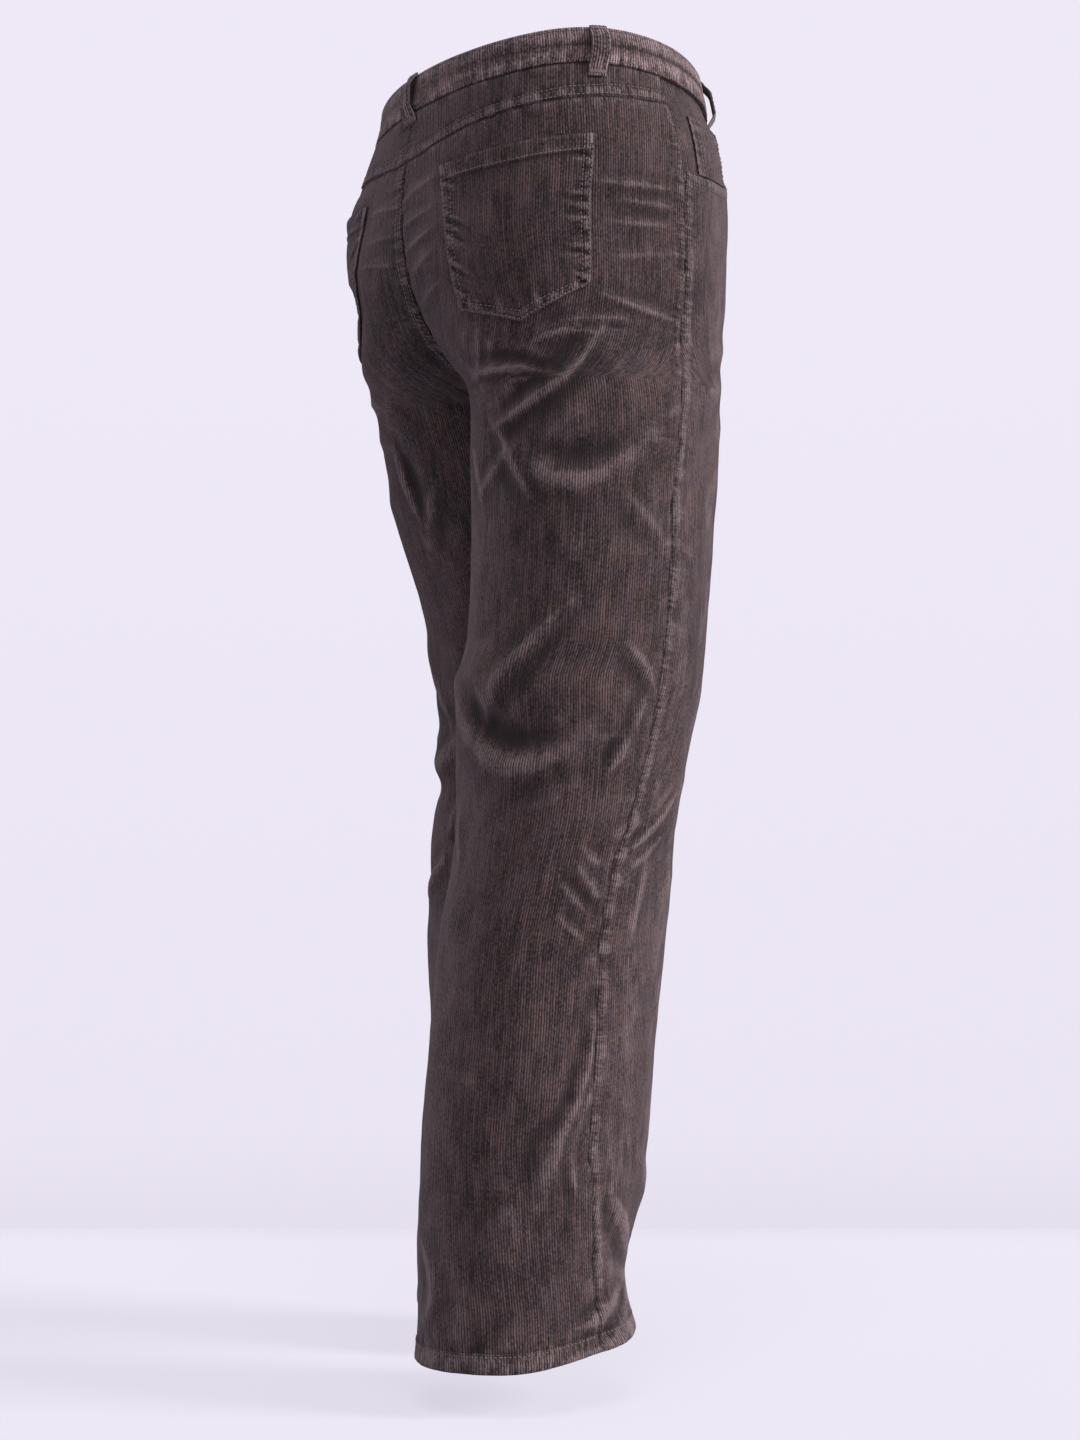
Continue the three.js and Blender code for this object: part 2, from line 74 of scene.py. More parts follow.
# Sizes of the cut, in millimetres: the cloth and its seams
CLOTH = 1.5
SEAM_GAP = 0.3
HALF_GAP = SEAM_GAP / 2
# The waistband, whose underlap and step are in degrees, and the slant of the waist, with its slopes
# sideways and aft and the heights that it fades over
BAND_HEIGHT = 30
BAND_WALL = 2.6
BAND_PROUD = 0.8
BAND_UNDERLAP = 14
BAND_STEP = 9
UNDER_BAND = -(BAND_HEIGHT + SEAM_GAP)
TILT_SIDE = 0.14
TILT_BACK = 0.045
TILT_LEVEL = -20
TILT_DEPTH = 400
CROTCH = -254
RIDE_FROM = -54
RIDE_TO = -28
# Belt loops
LOOP_WIDTH = 14
LOOP_WALL = 1.8
LOOP_TOP = 0.5
LOOP_LENGTH = 40
LOOP_GAP = 5.6
# Front pockets, whose reach forwards is in degrees, and the coin pocket
OPENING_REACH = 58
OPENING_DROP = 72
FACING_REACH = 68
FACING_OVERLAP = 14
BEHIND_BAND = 7
UNDER_FRONT = -(CLOTH + 1)
COIN_WALL = 1.2
COIN_GAP = 0.7
COIN_LIFT = UNDER_FRONT + COIN_GAP + COIN_WALL
COIN_CLEARANCE = 1
# Back pockets and turned hems
POCKET_GAP = 0.8
POCKET_HEM = 16
HEM_EXTRA = 0.8
# Fly, zip and underlap, beside the middle of the front
FLY_LENGTH = 155
FLY_CURVE = 118
FLY_STITCH = 38
FLY_ROW_GAP = 6
UNDERLAP_START = -10
UNDERLAP_WIDTH = 46
UNDERLAP_EXTRA = 8
ZIP_START = 4
ZIP_WIDTH = 24
ZIP_TEETH = 8
ZIP_WALL = 1.2
ZIP_LIFT = -(CLOTH + 1.6)
UNDERLAP_LIFT = ZIP_LIFT - ZIP_WALL - 0.8
# Hems of the legs
HEM_TOP = -997
HEM_BOTTOM = -1012
HEM_RISE = 22
HEM_DROP = 8
# Waist button and its four holes
BUTTON_RADIUS = 8.5
BUTTON_HEIGHT = 3.4
BUTTON_INSET = 5.5
BUTTON_SEGMENTS = 64
HOLE_ASIDE = 1.7
HOLE_DEPTH = 1.1
# How far down and up a panel its slanted top edge and its hem are followed
TOP_FADE = 130
HEM_FADE = 62

# How the cloth is laid out for its grain: the radius of the hips in front, the millimetres of band to
# a degree, and where on the bolt each kind of small piece is cut
FRONT_RADIUS = 128
BAND_DEGREE = 2.3
BOLT = {"back_pocket": 500, "loops": 700, "loop_spacing": 40, "facing": 800, "coin_pocket": 801}

# How far sewn edges run past the middle of their seam: in millimetres at the centre seams, and in
# degrees at the side seams and inseams, so that no light passes through
SEAM_LAP = 0.02
SEAM_TURN = 0.16

# Sewing, in millimetres from the edge that a row follows
EDGE_ROW = 2.2
SECOND_ROW = 8.2
HEM_ROW = 1.8
STITCH_SINK = 0.05
BARTACK_POINTS = 25
BARTACK_REACH = 0.9

# How far outside the cloth a stitch is laid down from, and how high it comes to lie, in metres
SETTLE_REACH = 0.003
STITCH_RISE = 0.00015


def as_arrays(*values):
    """Numbers or arrays, as arrays of one shape."""
    return np.broadcast_arrays(*[np.asarray(value, float) for value in values])


def named(names, rows):
    """A table whose rows are read by the names of their columns."""
    return [dict(zip(names, row)) for row in rows]


# Powers that make the sections round: beside, at the inseam, more over the seat between its heights,
# and more towards the centre seam above the crotch, behind and in front
ROUND_OUTER = 2.08
ROUND_INNER = 2
SEAT_FULLNESS = 0.36
SEAT_HEIGHTS = (-190, -110, -50, -8)
HIP_REACH = 60
HIP_BEHIND = 0.1
HIP_IN_FRONT = 1.2

# Sections of one half, at a height z: how far its middle is out and aft, its half width, its depth
# behind and in front, and the degrees by which the side seam is turned forwards
SECTION = ["z", "out", "aft", "half", "back", "front", "turn"]
HIPS = named(SECTION, [
    [20, 0, 0, 146, 119, 115, -4],
    [8, 0, 0, 149, 120, 117, -4],
    [-28, 0, -1, 155, 124, 124, -5],
    [-60, 8, -3, 157, 131, 130, -6],
    [-102, 24, -4, 146, 138, 131, -9],
    [-145, 40, -4, 128, 141, 126, -11],
    [-185, 53, -4, 114, 136, 120, -12],
    [-220, 68, -2, 99, 126, 113, -12],
])
RIGHT_LEG = named(SECTION, [
    [-258, 86, 1, 86, 110, 105, -13],
    [-295, 90, 6, 86, 103, 104, -13],
    [-335, 91, 10, 86, 99, 105, -11],
    [-395, 92, 14, 88, 97, 104, -10],
    [-450, 92, 17, 88, 97, 102, -9],
    [-485, 92, 20, 88, 106, 101, -9],
    [-515, 92, 25, 86, 101, 99, -9],
    [-555, 92, 31, 84, 94, 95, -7],
    [-595, 92, 36, 82, 90, 93, -3],
    [-635, 92, 41, 80, 89, 93, 3],
    [-695, 92, 48, 80, 94, 92, 5],
    [-765, 92, 56, 80, 95, 93, 2],
    [-835, 92, 62, 80, 95, 93, 2],
    [-895, 93, 68, 79, 93, 89, -3],
    [-950, 93, 76, 76, 88, 81, -11],
    [-986, 93, 75, 74, 90, 88, -14],
    [-1014, 93, 74, 74, 92, 101, -14],
])
LEFT_LEG = named(SECTION, [
    [-258, 86, -5, 85, 105, 103, -9],
    [-295, 90, -14, 84, 100, 104, -8],
    [-335, 93, -24, 85, 98, 105, -7],
    [-395, 97, -42, 86, 93, 103, -6],
    [-450, 99, -56, 86, 90, 101, -5],
    [-495, 99, -63, 86, 90, 99, -4],
    [-555, 100, -64, 84, 90, 97, -3],
    [-630, 100, -60, 80, 93, 92, 0],
    [-695, 100, -58, 80, 93, 92, 0],
    [-765, 100, -56, 79, 90, 90, 0],
    [-835, 100, -52, 78, 88, 88, 0],
    [-895, 101, -48, 76, 87, 87, -2],
    [-950, 101, -45, 75, 86, 82, -4],
    [-986, 101, -44, 74, 88, 86, -6],
    [-1014, 101, -43, 74, 90, 96, -6],
])

# How the band rides up behind the right hip and dips in front: the angle in the middle of the
# stretch, its spread and its height
RIDE = ["middle", "spread", "height"]
RIGHT_RIDES = named(RIDE, [
    [26, 34, 6],
    [-28, 26, -2],
    [-75, 40, -7],
])
LEFT_RIDES = named(RIDE, [[-75, 40, -7]])

# Creases, as arcs from one point towards a second to a third, each an angle round the leg and a height,
# with their half width, their height, which is negative in a trough, the share of it by which the
# cloth dips beside them (above or behind, or below or before where negative), and how crisp they are,
# from 0, a round swell, to 1, a sharp fold
CREASE = ["a0", "z0", "a1", "z1", "a2", "z2", "width", "height", "dip", "crisp"]
RIGHT_CREASES = named(CREASE, [
    # seat
    [33, -223, 49, -266, 90, -291, 6, 4.6, 0.8, 0.96],
    [40, -250, 64, -290, 98, -304, 11, -3.4, 0, 0],
    [62, -234, 47, -221, 33, -227, 5, 1.8, 0.5, 0.8],
    [102, -253, 80, -246, 59, -255, 5, 2.8, 0.7, 0.96],
    [47, -218, 34, -214, 21, -216, 4.5, 1.6, 0.5, 0.8],
    [87, -216, 92, -224, 97, -236, 4, 1.4, 0.4, 0.64],
    [82, -221, 87, -236, 98, -253, 4.5, 1.7, 0.5, 0.8],
    [77, -226, 82, -238, 90, -250, 4, 1.2, 0.4, 0.64],
    [31, -199, 18, -209, 3, -214, 4.5, 1.8, 0.5, 0.8],
    [31, -118, 18, -120, 3, -118, 4, 1.3, 0.4, 0.64],
    [23, -130, 12, -132, 2, -130, 4, 1.1, 0.4, 0.64],
    [28, -147, 16, -147, 5, -144, 4, 1.3, 0.4, 0.64],
    [30, -172, 18, -170, 6, -164, 4.5, 1.0, 0.3, 0.48],
    [103, -105, 94, -99, 85, -95, 4, 1.2, 0.4, 0.64],
    [106, -125, 97, -123, 87, -119, 4, 1.2, 0.4, 0.64],
    [107, -145, 97, -141, 87, -135, 4, 1.2, 0.4, 0.64],
    [111, -167, 100, -160, 89, -151, 4.5, 1.3, 0.4, 0.64],
    [112, -190, 102, -184, 90, -176, 5, 1.2, 0.4, 0.64],
    # thigh
    [77, -310, 46, -361, 15, -301, 9, 3.4, 0.9, 0],
    [66, -304, 46, -328, 28, -300, 12, -2.4, 0, 0],
    [92, -286, 80, -316, 68, -345, 6, 2.8, 0.5, 0.64],
    [83, -314, 92, -326, 101, -341, 6, 2.4, 0.5, 0.64],
    [112, -300, 104, -322, 98, -352, 6, 2.0, 0.4, 0.48],
    [60, -372, 40, -392, 16, -384, 13, 1.4, 0.4, 0],
    [26, -338, 14, -356, 3, -380, 7, 1.6, 0.4, 0.48],
    # knee
    [118, -489, 69, -594, 31, -527, 10, 4.8, 0.9, 0],
    [104, -474, 74, -558, 42, -502, 15, -4.4, 0, 0],
    [86, -516, 72, -462, 46, -425, 8, 3.4, -0.5, 0.32],
    [88, -488, 86, -504, 83, -522, 5, 1.8, 0.4, 0.64],
    [18, -457, 9, -474, 2, -495, 6, 2.8, 0.5, 0.64],
    [6, -494, 8, -510, 9, -528, 5, 1.6, 0.5, 0.64],
    [11, -527, 12, -545, 18, -559, 5, 2.4, 1.0, 0.96],
    [26, -560, 40, -580, 58, -588, 8, 1.8, 0.4, 0],
    [107, -586, 102, -606, 94, -631, 7, 2.8, 0.5, 0.32],
    # shin and calf, beside the side seam
    [20, -626, 12, -642, 3, -657, 5, 2.0, 0.4, 0.8],
    [28, -640, 19, -653, 7, -668, 3.5, 1.3, 0.3, 0.64],
    [25, -666, 16, -680, 5, -692, 3.5, 1.2, 0.3, 0.64],
    [22, -612, 14, -624, 4, -632, 3.5, 1.1, 0.3, 0.64],
    [1, -746, 2, -806, 17, -843, 5, 2.6, 0.5, 0.8],
    [0, -795, 4, -818, 8, -843, 4, 1.6, 0.4, 0.8],
    [10, -823, 19, -850, 27, -890, 9, 3.6, 0.6, 0],
    [10, -845, 10, -866, 8, -888, 4, 1.5, 0.4, 0.8],
    [62, -690, 60, -760, 66, -840, 16, 1.2, 0.3, 0],
    [40, -880, 46, -920, 52, -965, 12, 1.6, 0.4, 0],
    [108, -917, 78, -952, 100, -985, 8, 3.6, 0.5, 0.32],
    [70, -962, 74, -984, 72, -1004, 9, 1.6, 0.3, 0],
    # hem, pushed up in front
    [13, -1003, -10, -1001, -32, -961, 6, -3.2, 0, 0.32],
    [16, -990, -2, -986, -22, -962, 6, 2.2, 0.3, 0.32],
    # front of the leg
    [-4, -622, -18, -604, -33, -574, 4.5, 2.4, 0.6, 0.96],
    [-8, -602, -18, -588, -29, -565, 4, 1.2, 0.4, 0.64],
    [-10, -635, -20, -621, -31, -603, 4, 1.1, 0.4, 0.64],
    [-20, -619, -21, -655, -17, -693, 5, 1.4, 0.3, 0.64],
    [-12, -883, -20, -914, -41, -939, 8, 3.8, 0.6, 0.32],
    [-30, -846, -46, -880, -70, -900, 9, 2.2, 0.4, 0],
    [-24, -236, -54, -216, -86, -212, 8, 1.1, 0.5, 0.2],
    [-18, -264, -50, -250, -94, -238, 8, 1.2, 0.5, 0.2],
    [-26, -292, -60, -284, -104, -262, 9, 1.1, 0.5, 0.1],
    [-44, -196, -66, -190, -88, -194, 6, 0.8, 0.4, 0.3],
    [-40, -330, -78, -350, -112, -310, 12, 1.2, 0.4, 0],
    [-46, -500, -82, -536, -122, -506, 12, 2.6, 0.5, 0],
    [-52, -566, -86, -596, -124, -560, 10, 2.8, 0.5, 0.16],
    [-60, -640, -88, -660, -120, -628, 9, 2.0, 0.4, 0.16],
    [-84, -720, -88, -780, -80, -850, 15, 1.4, 0.3, 0],
    [-58, -925, -84, -948, -112, -922, 9, 3.2, 0.5, 0.16],
    [-50, -962, -82, -978, -114, -952, 8, 2.6, 0.5, 0.16],
])
LEFT_CREASES = named(CREASE, [
    # seat
    [62, -66, 62, -84, 62, -102, 24, 4.5, 0, 0],
    [66, -150, 64, -222, 62, -296, 27, -7.5, 0, 0],
    [34, -228, 54, -272, 94, -288, 8, 1.8, 0.6, 0.5],
    [42, -252, 68, -292, 102, -302, 11, -1.4, 0, 0],
    [100, -255, 72, -245, 44, -240, 6, 2.4, 0.6, 0.64],
    [28, -202, 16, -208, 4, -210, 4.5, 1.6, 0.4, 0.64],
    [29, -122, 17, -125, 3, -122, 4, 1.2, 0.4, 0.64],
    [27, -150, 16, -152, 5, -148, 4, 1.2, 0.4, 0.64],
    [103, -108, 94, -102, 85, -98, 4, 1.2, 0.4, 0.64],
    [106, -130, 97, -127, 87, -122, 4, 1.2, 0.4, 0.64],
    [108, -152, 98, -148, 88, -141, 4, 1.2, 0.4, 0.64],
    # thigh
    [82, -312, 54, -352, 18, -304, 10, 1.4, 0.6, 0],
    [92, -286, 97, -318, 101, -350, 6, 3.0, 0.6, 0.64],
    [118, -318, 108, -342, 100, -380, 7, 2.2, 0.4, 0.32],
    [28, -340, 16, -360, 4, -384, 7, 1.6, 0.4, 0.32],
    # knee
    [122, -496, 80, -592, 34, -534, 11, 4.4, 0.8, 0],
    [84, -520, 64, -540, 40, -528, 9, 5.0, 0, 0.3],
    [82, -572, 62, -577, 40, -566, 10, -6.0, 0, 0],
    [65, -138, 63, -170, 62, -206, 25, -8.5, 0, 0],
    [108, -478, 78, -556, 38, -506, 15, -4.0, 0, 0],
    [88, -520, 70, -474, 50, -438, 8, 3.0, -0.5, 0.16],
    [20, -452, 10, -474, 3, -500, 6, 2.4, 0.5, 0.48],
    [12, -530, 13, -550, 20, -568, 5, 2.2, 0.8, 0.8],
    [96, -628, 80, -652, 61, -673, 7, 3.6, 0.6, 0.48],
    [104, -580, 98, -600, 92, -622, 6, 2.4, 0.5, 0.32],
    # shin and calf
    [22, -632, 12, -646, 3, -662, 5, 1.8, 0.4, 0.64],
    [2, -768, 5, -820, 22, -860, 6, 2.6, 0.5, 0.64],
    [10, -840, 18, -866, 28, -900, 9, 3.0, 0.5, 0],
    [84, -700, 80, -780, 86, -856, 15, 1.4, 0.3, 0],
    [104, -922, 78, -954, 95, -990, 8, 3.2, 0.5, 0.32],
    # hem
    [20, -1002, -4, -998, -28, -964, 6, -3.0, 0, 0.32],
    # front of the leg
    [-8, -640, -22, -612, -40, -588, 6, 2.6, 0.5, 0.64],
    [-16, -660, -26, -640, -38, -622, 5, 1.4, 0.4, 0.48],
    [-16, -888, -28, -918, -46, -942, 8, 3.4, 0.5, 0.32],
    [-24, -238, -54, -220, -86, -216, 7, 2.4, 0.5, 0.32],
    [-18, -268, -52, -256, -96, -242, 7, 2.8, 0.5, 0.32],
    [-28, -300, -62, -292, -106, -268, 8, 2.4, 0.5, 0.16],
    [-42, -336, -80, -352, -112, -316, 12, 1.8, 0.4, 0],
    [-46, -506, -84, -542, -122, -510, 12, 2.6, 0.5, 0],
    [-54, -574, -88, -600, -122, -566, 10, 2.6, 0.5, 0.16],
    [-82, -716, -90, -780, -84, -846, 15, 1.4, 0.3, 0],
    [-60, -930, -86, -952, -114, -926, 9, 3.0, 0.5, 0.16],
])
CREASE_RADIUS = 96
CREASE_STATIONS = 12

# Soft unevenness of hanging cloth: wavelengths round the leg and down it, and height
SWELLS = named(["around", "down", "height"], [
    [150, 260, 0.9],
    [92, 170, 0.6],
    [58, 120, 0.4],
    [36, 64, 0.22],
    [24, 30, 0.10],
])

# Back pocket, as angles and heights of its corners
POCKET = {"inner": 84, "outer": 28, "topInner": -92, "topOuter": -84}
POCKET_FOOT = {"inner": 86, "outer": 36, "point": 62, "zInner": -204, "zOuter": -192, "zPoint": -218}
POCKET_TURN = (POCKET_FOOT["inner"] - POCKET_FOOT["point"]) / (
    POCKET_FOOT["inner"] - POCKET_FOOT["outer"])
COIN = {"left": -9, "right": -34, "top": -56, "width": 58, "depth": 42}
YOKE = {"side": -51, "drop": 21, "reach": 93, "power": 1.7}
OPENING_POWER = 3.6
OPENING_ROUND = 2.3

LOOPS = named(["name", "degrees", "rest"], [
    ["belt_loop_back", 180, 0],
    ["belt_loop_right_back", 110, 0],
    ["belt_loop_left_back", 248, 0],
    ["belt_loop_right_front", 42, UNDER_FRONT],
    ["belt_loop_left_front", 318, UNDER_FRONT],
])


class ClothSettings(bpy.types.PropertyGroup):
    """Sizes of the cloth and of its surface."""

    mesh_step: FloatProperty(
        name="Mesh step", description="Spacing of the points of a leg's panel",
        default=0.0022, min=0.0015, unit="LENGTH", subtype="DISTANCE")
    wale_pitch: FloatProperty(
        name="Wale pitch", description="Distance from one rib of the corduroy to the next",
        default=0.0021, unit="LENGTH", subtype="DISTANCE")
    wale_height: FloatProperty(
        name="Wale height", description="Height of a rib of the corduroy",
        default=0.0005, unit="LENGTH", subtype="DISTANCE")
    unevenness: FloatProperty(
        name="Unevenness", description="Share of the soft swells of the hanging cloth",
        default=1.0, min=0.0, max=2.0, subtype="FACTOR")
    puckering: FloatProperty(
        name="Puckering", description="Share of the short wrinkles that the sewing draws in",
        default=1.0, min=0.0, max=2.0, subtype="FACTOR")
    seed: IntProperty(
        name="Seed", description="Start of the chance in swells and puckers", default=7)


class ColourSettings(bpy.types.PropertyGroup):
    """Colours of the cloth, the sewing and the hard pieces."""

    pile: FloatVectorProperty(
        name="Pile", description="Washed corduroy", size=3, subtype="COLOR",
        default=(0.036, 0.0245, 0.0265))
    pile_warm: FloatVectorProperty(
        name="Warm pile", description="Washed corduroy that has turned brownish", size=3,
        subtype="COLOR", default=(0.043, 0.0265, 0.0245))
    # The ground between the ribs, darkened also as painted shade: the grooves between ribs and deep
    # creases take this colour.
    groove: FloatVectorProperty(
        name="Groove", description="Ground of the cloth between the ribs", size=3, subtype="COLOR",
        default=(0.010, 0.0066, 0.0072))
    # Painted highlight and wear: this paler pile is laid on fold crests and puckers as painted
    # highlight, and on edges as real wear.
    worn_and_lit: FloatVectorProperty(
        name="Worn pile", description="Crests and edges where the pile is rubbed", size=3,
        subtype="COLOR", default=(0.185, 0.138, 0.140))
    wrong_side: FloatVectorProperty(
        name="Wrong side", description="Woven back of the corduroy", size=3, subtype="COLOR",
        default=(0.052, 0.038, 0.042))
    thread: FloatVectorProperty(
        name="Thread", description="Sewing thread", size=3, subtype="COLOR",
        default=(0.115, 0.086, 0.088))
    zip_tape: FloatVectorProperty(
        name="Zip tape", description="Woven tape of the zip", size=3, subtype="COLOR",
        default=(0.022, 0.018, 0.020))
    zip_teeth: FloatVectorProperty(
        name="Zip teeth", description="Metal of the zip", size=3, subtype="COLOR",
        default=(0.36, 0.30, 0.22))
    horn: FloatVectorProperty(
        name="Horn", description="Waist button", size=3, subtype="COLOR",
        default=(0.040, 0.024, 0.018))


class SewingSettings(bpy.types.PropertyGroup):
    """Sizes of the stitches."""

    stitch_length: FloatProperty(
        name="Stitch length", description="Length of one stitch that shows",
        default=0.0029, unit="LENGTH", subtype="DISTANCE")
    stitch_pitch: FloatProperty(
        name="Stitch pitch", description="Distance from one stitch to the next",
        default=0.0037, unit="LENGTH", subtype="DISTANCE")
    thread_width: FloatProperty(
        name="Thread width", description="Width of the thread",
        default=0.0009, unit="LENGTH", subtype="DISTANCE")


class StageSettings(bpy.types.PropertyGroup):
    """Camera, floor and light."""

    camera_distance: FloatProperty(
        name="Camera distance", description="From the waist's axis", default=2.5,
        unit="LENGTH", subtype="DISTANCE")
    camera_turn: FloatProperty(
        name="Camera turn", description="From straight behind towards the right side",
        default=math.radians(57), subtype="ANGLE")
    camera_height: FloatProperty(
        name="Camera height", description="Above the waist, so negative below it", default=-0.517,
        unit="LENGTH", subtype="DISTANCE")
    lens: FloatProperty(
        name="Lens", description="Focal length in millimetres", default=75)
    floor_height: FloatProperty(
        name="Floor height", description="Below the waist's top edge", default=-1.056,
        unit="LENGTH", subtype="DISTANCE")
    floor_depth: FloatProperty(
        name="Floor depth", description="From the waist's axis to the floor's far edge", default=0.68,
        unit="LENGTH", subtype="DISTANCE")
    wall_colour: FloatVectorProperty(
        name="Backdrop", description="Pale wall behind", size=3, subtype="COLOR",
        default=(0.864, 0.815, 0.930))
    floor_colour: FloatVectorProperty(
        name="Floor", description="Pale floor", size=3, subtype="COLOR", default=(0.50, 0.48, 0.545))


def smooth(value, start, end):
    """A soft step from 0 at start to 1 at end."""
    t = np.clip((value - start) / (end - start), 0, 1)
    return t * t * (3 - 2 * t)


def mix(start, end, share):
    return start + (end - start) * share


def bell(value, width):
    return np.exp(-(value / width) ** 2)


def chance(*parts):
    """A random source that gives the same numbers each run for the same parts."""
    seed = bpy.context.scene.trousers_cloth.seed
    return np.random.RandomState([seed, *[abs(int(part)) for part in parts]])


def wander(along, spacing, source):
    """Smooth chance between -1 and 1 along a line, one turn or so for each spacing."""
    along = np.asarray(along, dtype=float) / spacing
    start = math.floor(along.min()) - 1
    knots = source.uniform(-1, 1, int(along.max() - start) + 4)
    i = np.floor(along).astype(int) - start
    t = smooth(along - np.floor(along), 0, 1)
    return mix(knots[i], knots[i + 1], t)


def rounded(value, power):
    return np.sign(value) * np.abs(value) ** (2 / power)


# Edges of the panels, as heights by angle

def yoke_seam(angle):
    share = np.minimum(np.abs(angle) / YOKE["reach"], 1)
    return YOKE["side"] - YOKE["drop"] * share ** YOKE["power"]


def back_top(angle):
    return yoke_seam(angle) - SEAM_GAP


def opening_edge(angle):
    reach = np.clip(np.abs(angle) / OPENING_REACH, 0, 1)
    return UNDER_BAND - OPENING_DROP * (1 - reach ** OPENING_POWER) ** (1 / OPENING_ROUND)


def hem_rise(angle):
    """How far the hem is pushed up in front, and how far it hangs down behind."""
    behind = np.sin(np.radians(angle))
    return HEM_RISE * ((1 - behind) / 2) ** 3 - HEM_DROP * smooth(behind, 0, 0.8)


class Half:
    """One half of the garment: its form, its creases and the width of its front and back."""

    HEIGHTS = np.arange(-1020.0, 25.0)
    FRACTIONS = np.linspace(0, 1, 129)
    STATIONS = np.linspace(0, 1, 193)

    def __init__(self, side, leg, creases, rides):
        self.side = side
        self.creases = creases
        self.rides = rides
        rows = sorted(HIPS + leg, key=lambda row: row["z"])
        self.heights = np.array([row["z"] for row in rows], dtype=float)
        self.columns = {key: self.curve([row[key] for row in rows]) for key in SECTION[1:]}
        self.swells = [
            (*chance(side + 2, i).uniform(0, 2 * math.pi, 2), swell) for i, swell in enumerate(SWELLS)
        ]
        self.tables = {face: self.arc_table(face) for face in (1, -1)}

    def curve(self, values):
        """Values and tangents of a curve that keeps between its neighbouring values."""
        values = np.array(values, dtype=float)
        steps = np.diff(self.heights)
        slopes = np.diff(values) / steps
        tangents = np.zeros(len(values))
        tangents[0] = slopes[0]
        tangents[-1] = slopes[-1]
        for i in range(1, len(slopes)):
            if slopes[i - 1] * slopes[i] > 0:
                before = 2 * steps[i] + steps[i - 1]
                after = steps[i] + 2 * steps[i - 1]
                tangents[i] = (before + after) / (before / slopes[i - 1] + after / slopes[i])
        return values, tangents

    def column(self, key, z):
        """One size of the sections at the heights z."""
        values, tangents = self.columns[key]
        height = np.clip(z, self.heights[0], self.heights[-1])
        i = np.clip(np.searchsorted(self.heights, height) - 1, 0, len(self.heights) - 2)
        step = self.heights[i + 1] - self.heights[i]
        t = (height - self.heights[i]) / step
        rise = 1 - t
        return ((1 + 2 * t) * rise * rise * values[i] + t * rise * rise * step * tangents[i]
                + t * t * (3 - 2 * t) * values[i + 1] - t * t * rise * step * tangents[i + 1])

    def form(self, angle, z):
        """The smooth form: angle 0 is the side seam, 90 behind, 180 the inseam, negative in front."""
        angle, z = as_arrays(angle, z)
        out, aft, half, back, front, turn = (self.column(key, z) for key in SECTION[1:])
        turned = np.radians(angle + turn * np.cos(np.radians(angle) / 2) ** 2)
        across = np.cos(turned)
        along = np.sin(turned)
        hip = np.clip((z - CROTCH) / HIP_REACH, 0, 1)
        bottom, full, fading, top = SEAT_HEIGHTS
        seat = SEAT_FULLNESS * smooth(z, bottom, full) * (1 - smooth(z, fading, top))
        outer = np.where(along >= 0, ROUND_OUTER + seat, ROUND_OUTER)
        inner = ROUND_INNER + np.where(along >= 0, HIP_BEHIND * hip, HIP_IN_FRONT * hip)
        power = np.where(across >= 0, outer, inner)
        x = self.side * (out + half * rounded(across, power))
        y = aft + np.where(along >= 0, back, front) * rounded(along, power)
        tilt = smooth(z, TILT_LEVEL - TILT_DEPTH, TILT_LEVEL) * (TILT_BACK * y - TILT_SIDE * x)
        ride = sum(row["height"] * bell(angle - row["middle"], row["spread"]) for row in self.rides)
        return np.stack([x, y, z + tilt + ride * smooth(z, RIDE_FROM, RIDE_TO)], axis=-1)

    def outward(self, angle, z):
        """The direction that the cloth faces."""
        turning = self.form(angle + 0.5, z) - self.form(angle - 0.5, z)
        rising = self.form(angle, z + 1) - self.form(angle, z - 1)
        normal = np.cross(turning, rising)
        normal /= np.linalg.norm(normal, axis=-1, keepdims=True) + 1e-9
        point = self.form(angle, z)
        middle = np.stack([self.side * self.column("out", z) + 0 * point[..., 0],
                           self.column("aft", z) + 0 * point[..., 0], z + 0 * point[..., 0]], axis=-1)
        inwards = (normal * (point - middle)).sum(axis=-1, keepdims=True) < 0
        return np.where(inwards, -normal, normal)

    def inner_angle(self, face, z, distance=-SEAM_LAP):
        """The angle at which the half comes to a distance from the middle, or its inseam."""
        z = np.asarray(z, dtype=float)
        near = np.full(z.shape, 60.0)
        far = np.full(z.shape, 180.0)
        for _ in range(30):
            middle = (near + far) / 2
            beyond = self.side * self.form(face * middle, z)[..., 0] > distance
            near = np.where(beyond, middle, near)
            far = np.where(beyond, far, middle)
        clear = self.column("out", z) - self.column("half", z) >= 0
        return face * np.where(clear, 180.0, near)

    def arc_table(self, face):
        """Angles at even shares of the width, and the width, at every height."""
        end = self.inner_angle(face, self.HEIGHTS)
        angles = end[:, None] * self.STATIONS
        points = self.form(angles, self.HEIGHTS[:, None])[..., :2]
        steps = np.linalg.norm(np.diff(points, axis=1), axis=-1)
        arcs = np.concatenate([np.zeros((len(end), 1)), np.cumsum(steps, axis=1)], axis=1)
        width = arcs[:, -1]
        table = [
            np.interp(mix(HALF_GAP, total - HALF_GAP, self.FRACTIONS), arc, row)
            for arc, row, total in zip(arcs, angles, width)
        ]
        table = np.array(table)
        table[:, 0] -= face * SEAM_TURN
        table[:, -1] += face * SEAM_TURN * (np.abs(end) == 180)
        return table, width

    def angle_across(self, face, z, fraction):
        """The angle at a fraction of the width of the front or back."""
        table, _ = self.tables[face]
        z, fraction = as_arrays(z, fraction)
        row = np.clip(z - self.HEIGHTS[0], 0, len(self.HEIGHTS) - 1.001)
        column = np.clip(fraction, 0, 1) * (len(self.FRACTIONS) - 1)
        i = row.astype(int)
        j = np.minimum(column.astype(int), len(self.FRACTIONS) - 2)
        lower = mix(table[i, j], table[i, j + 1], column - j)
        upper = mix(table[i + 1, j], table[i + 1, j + 1], column - j)
        return mix(lower, upper, row - i)

    def width(self, face, z):
        return np.interp(z, self.HEIGHTS, self.tables[face][1])

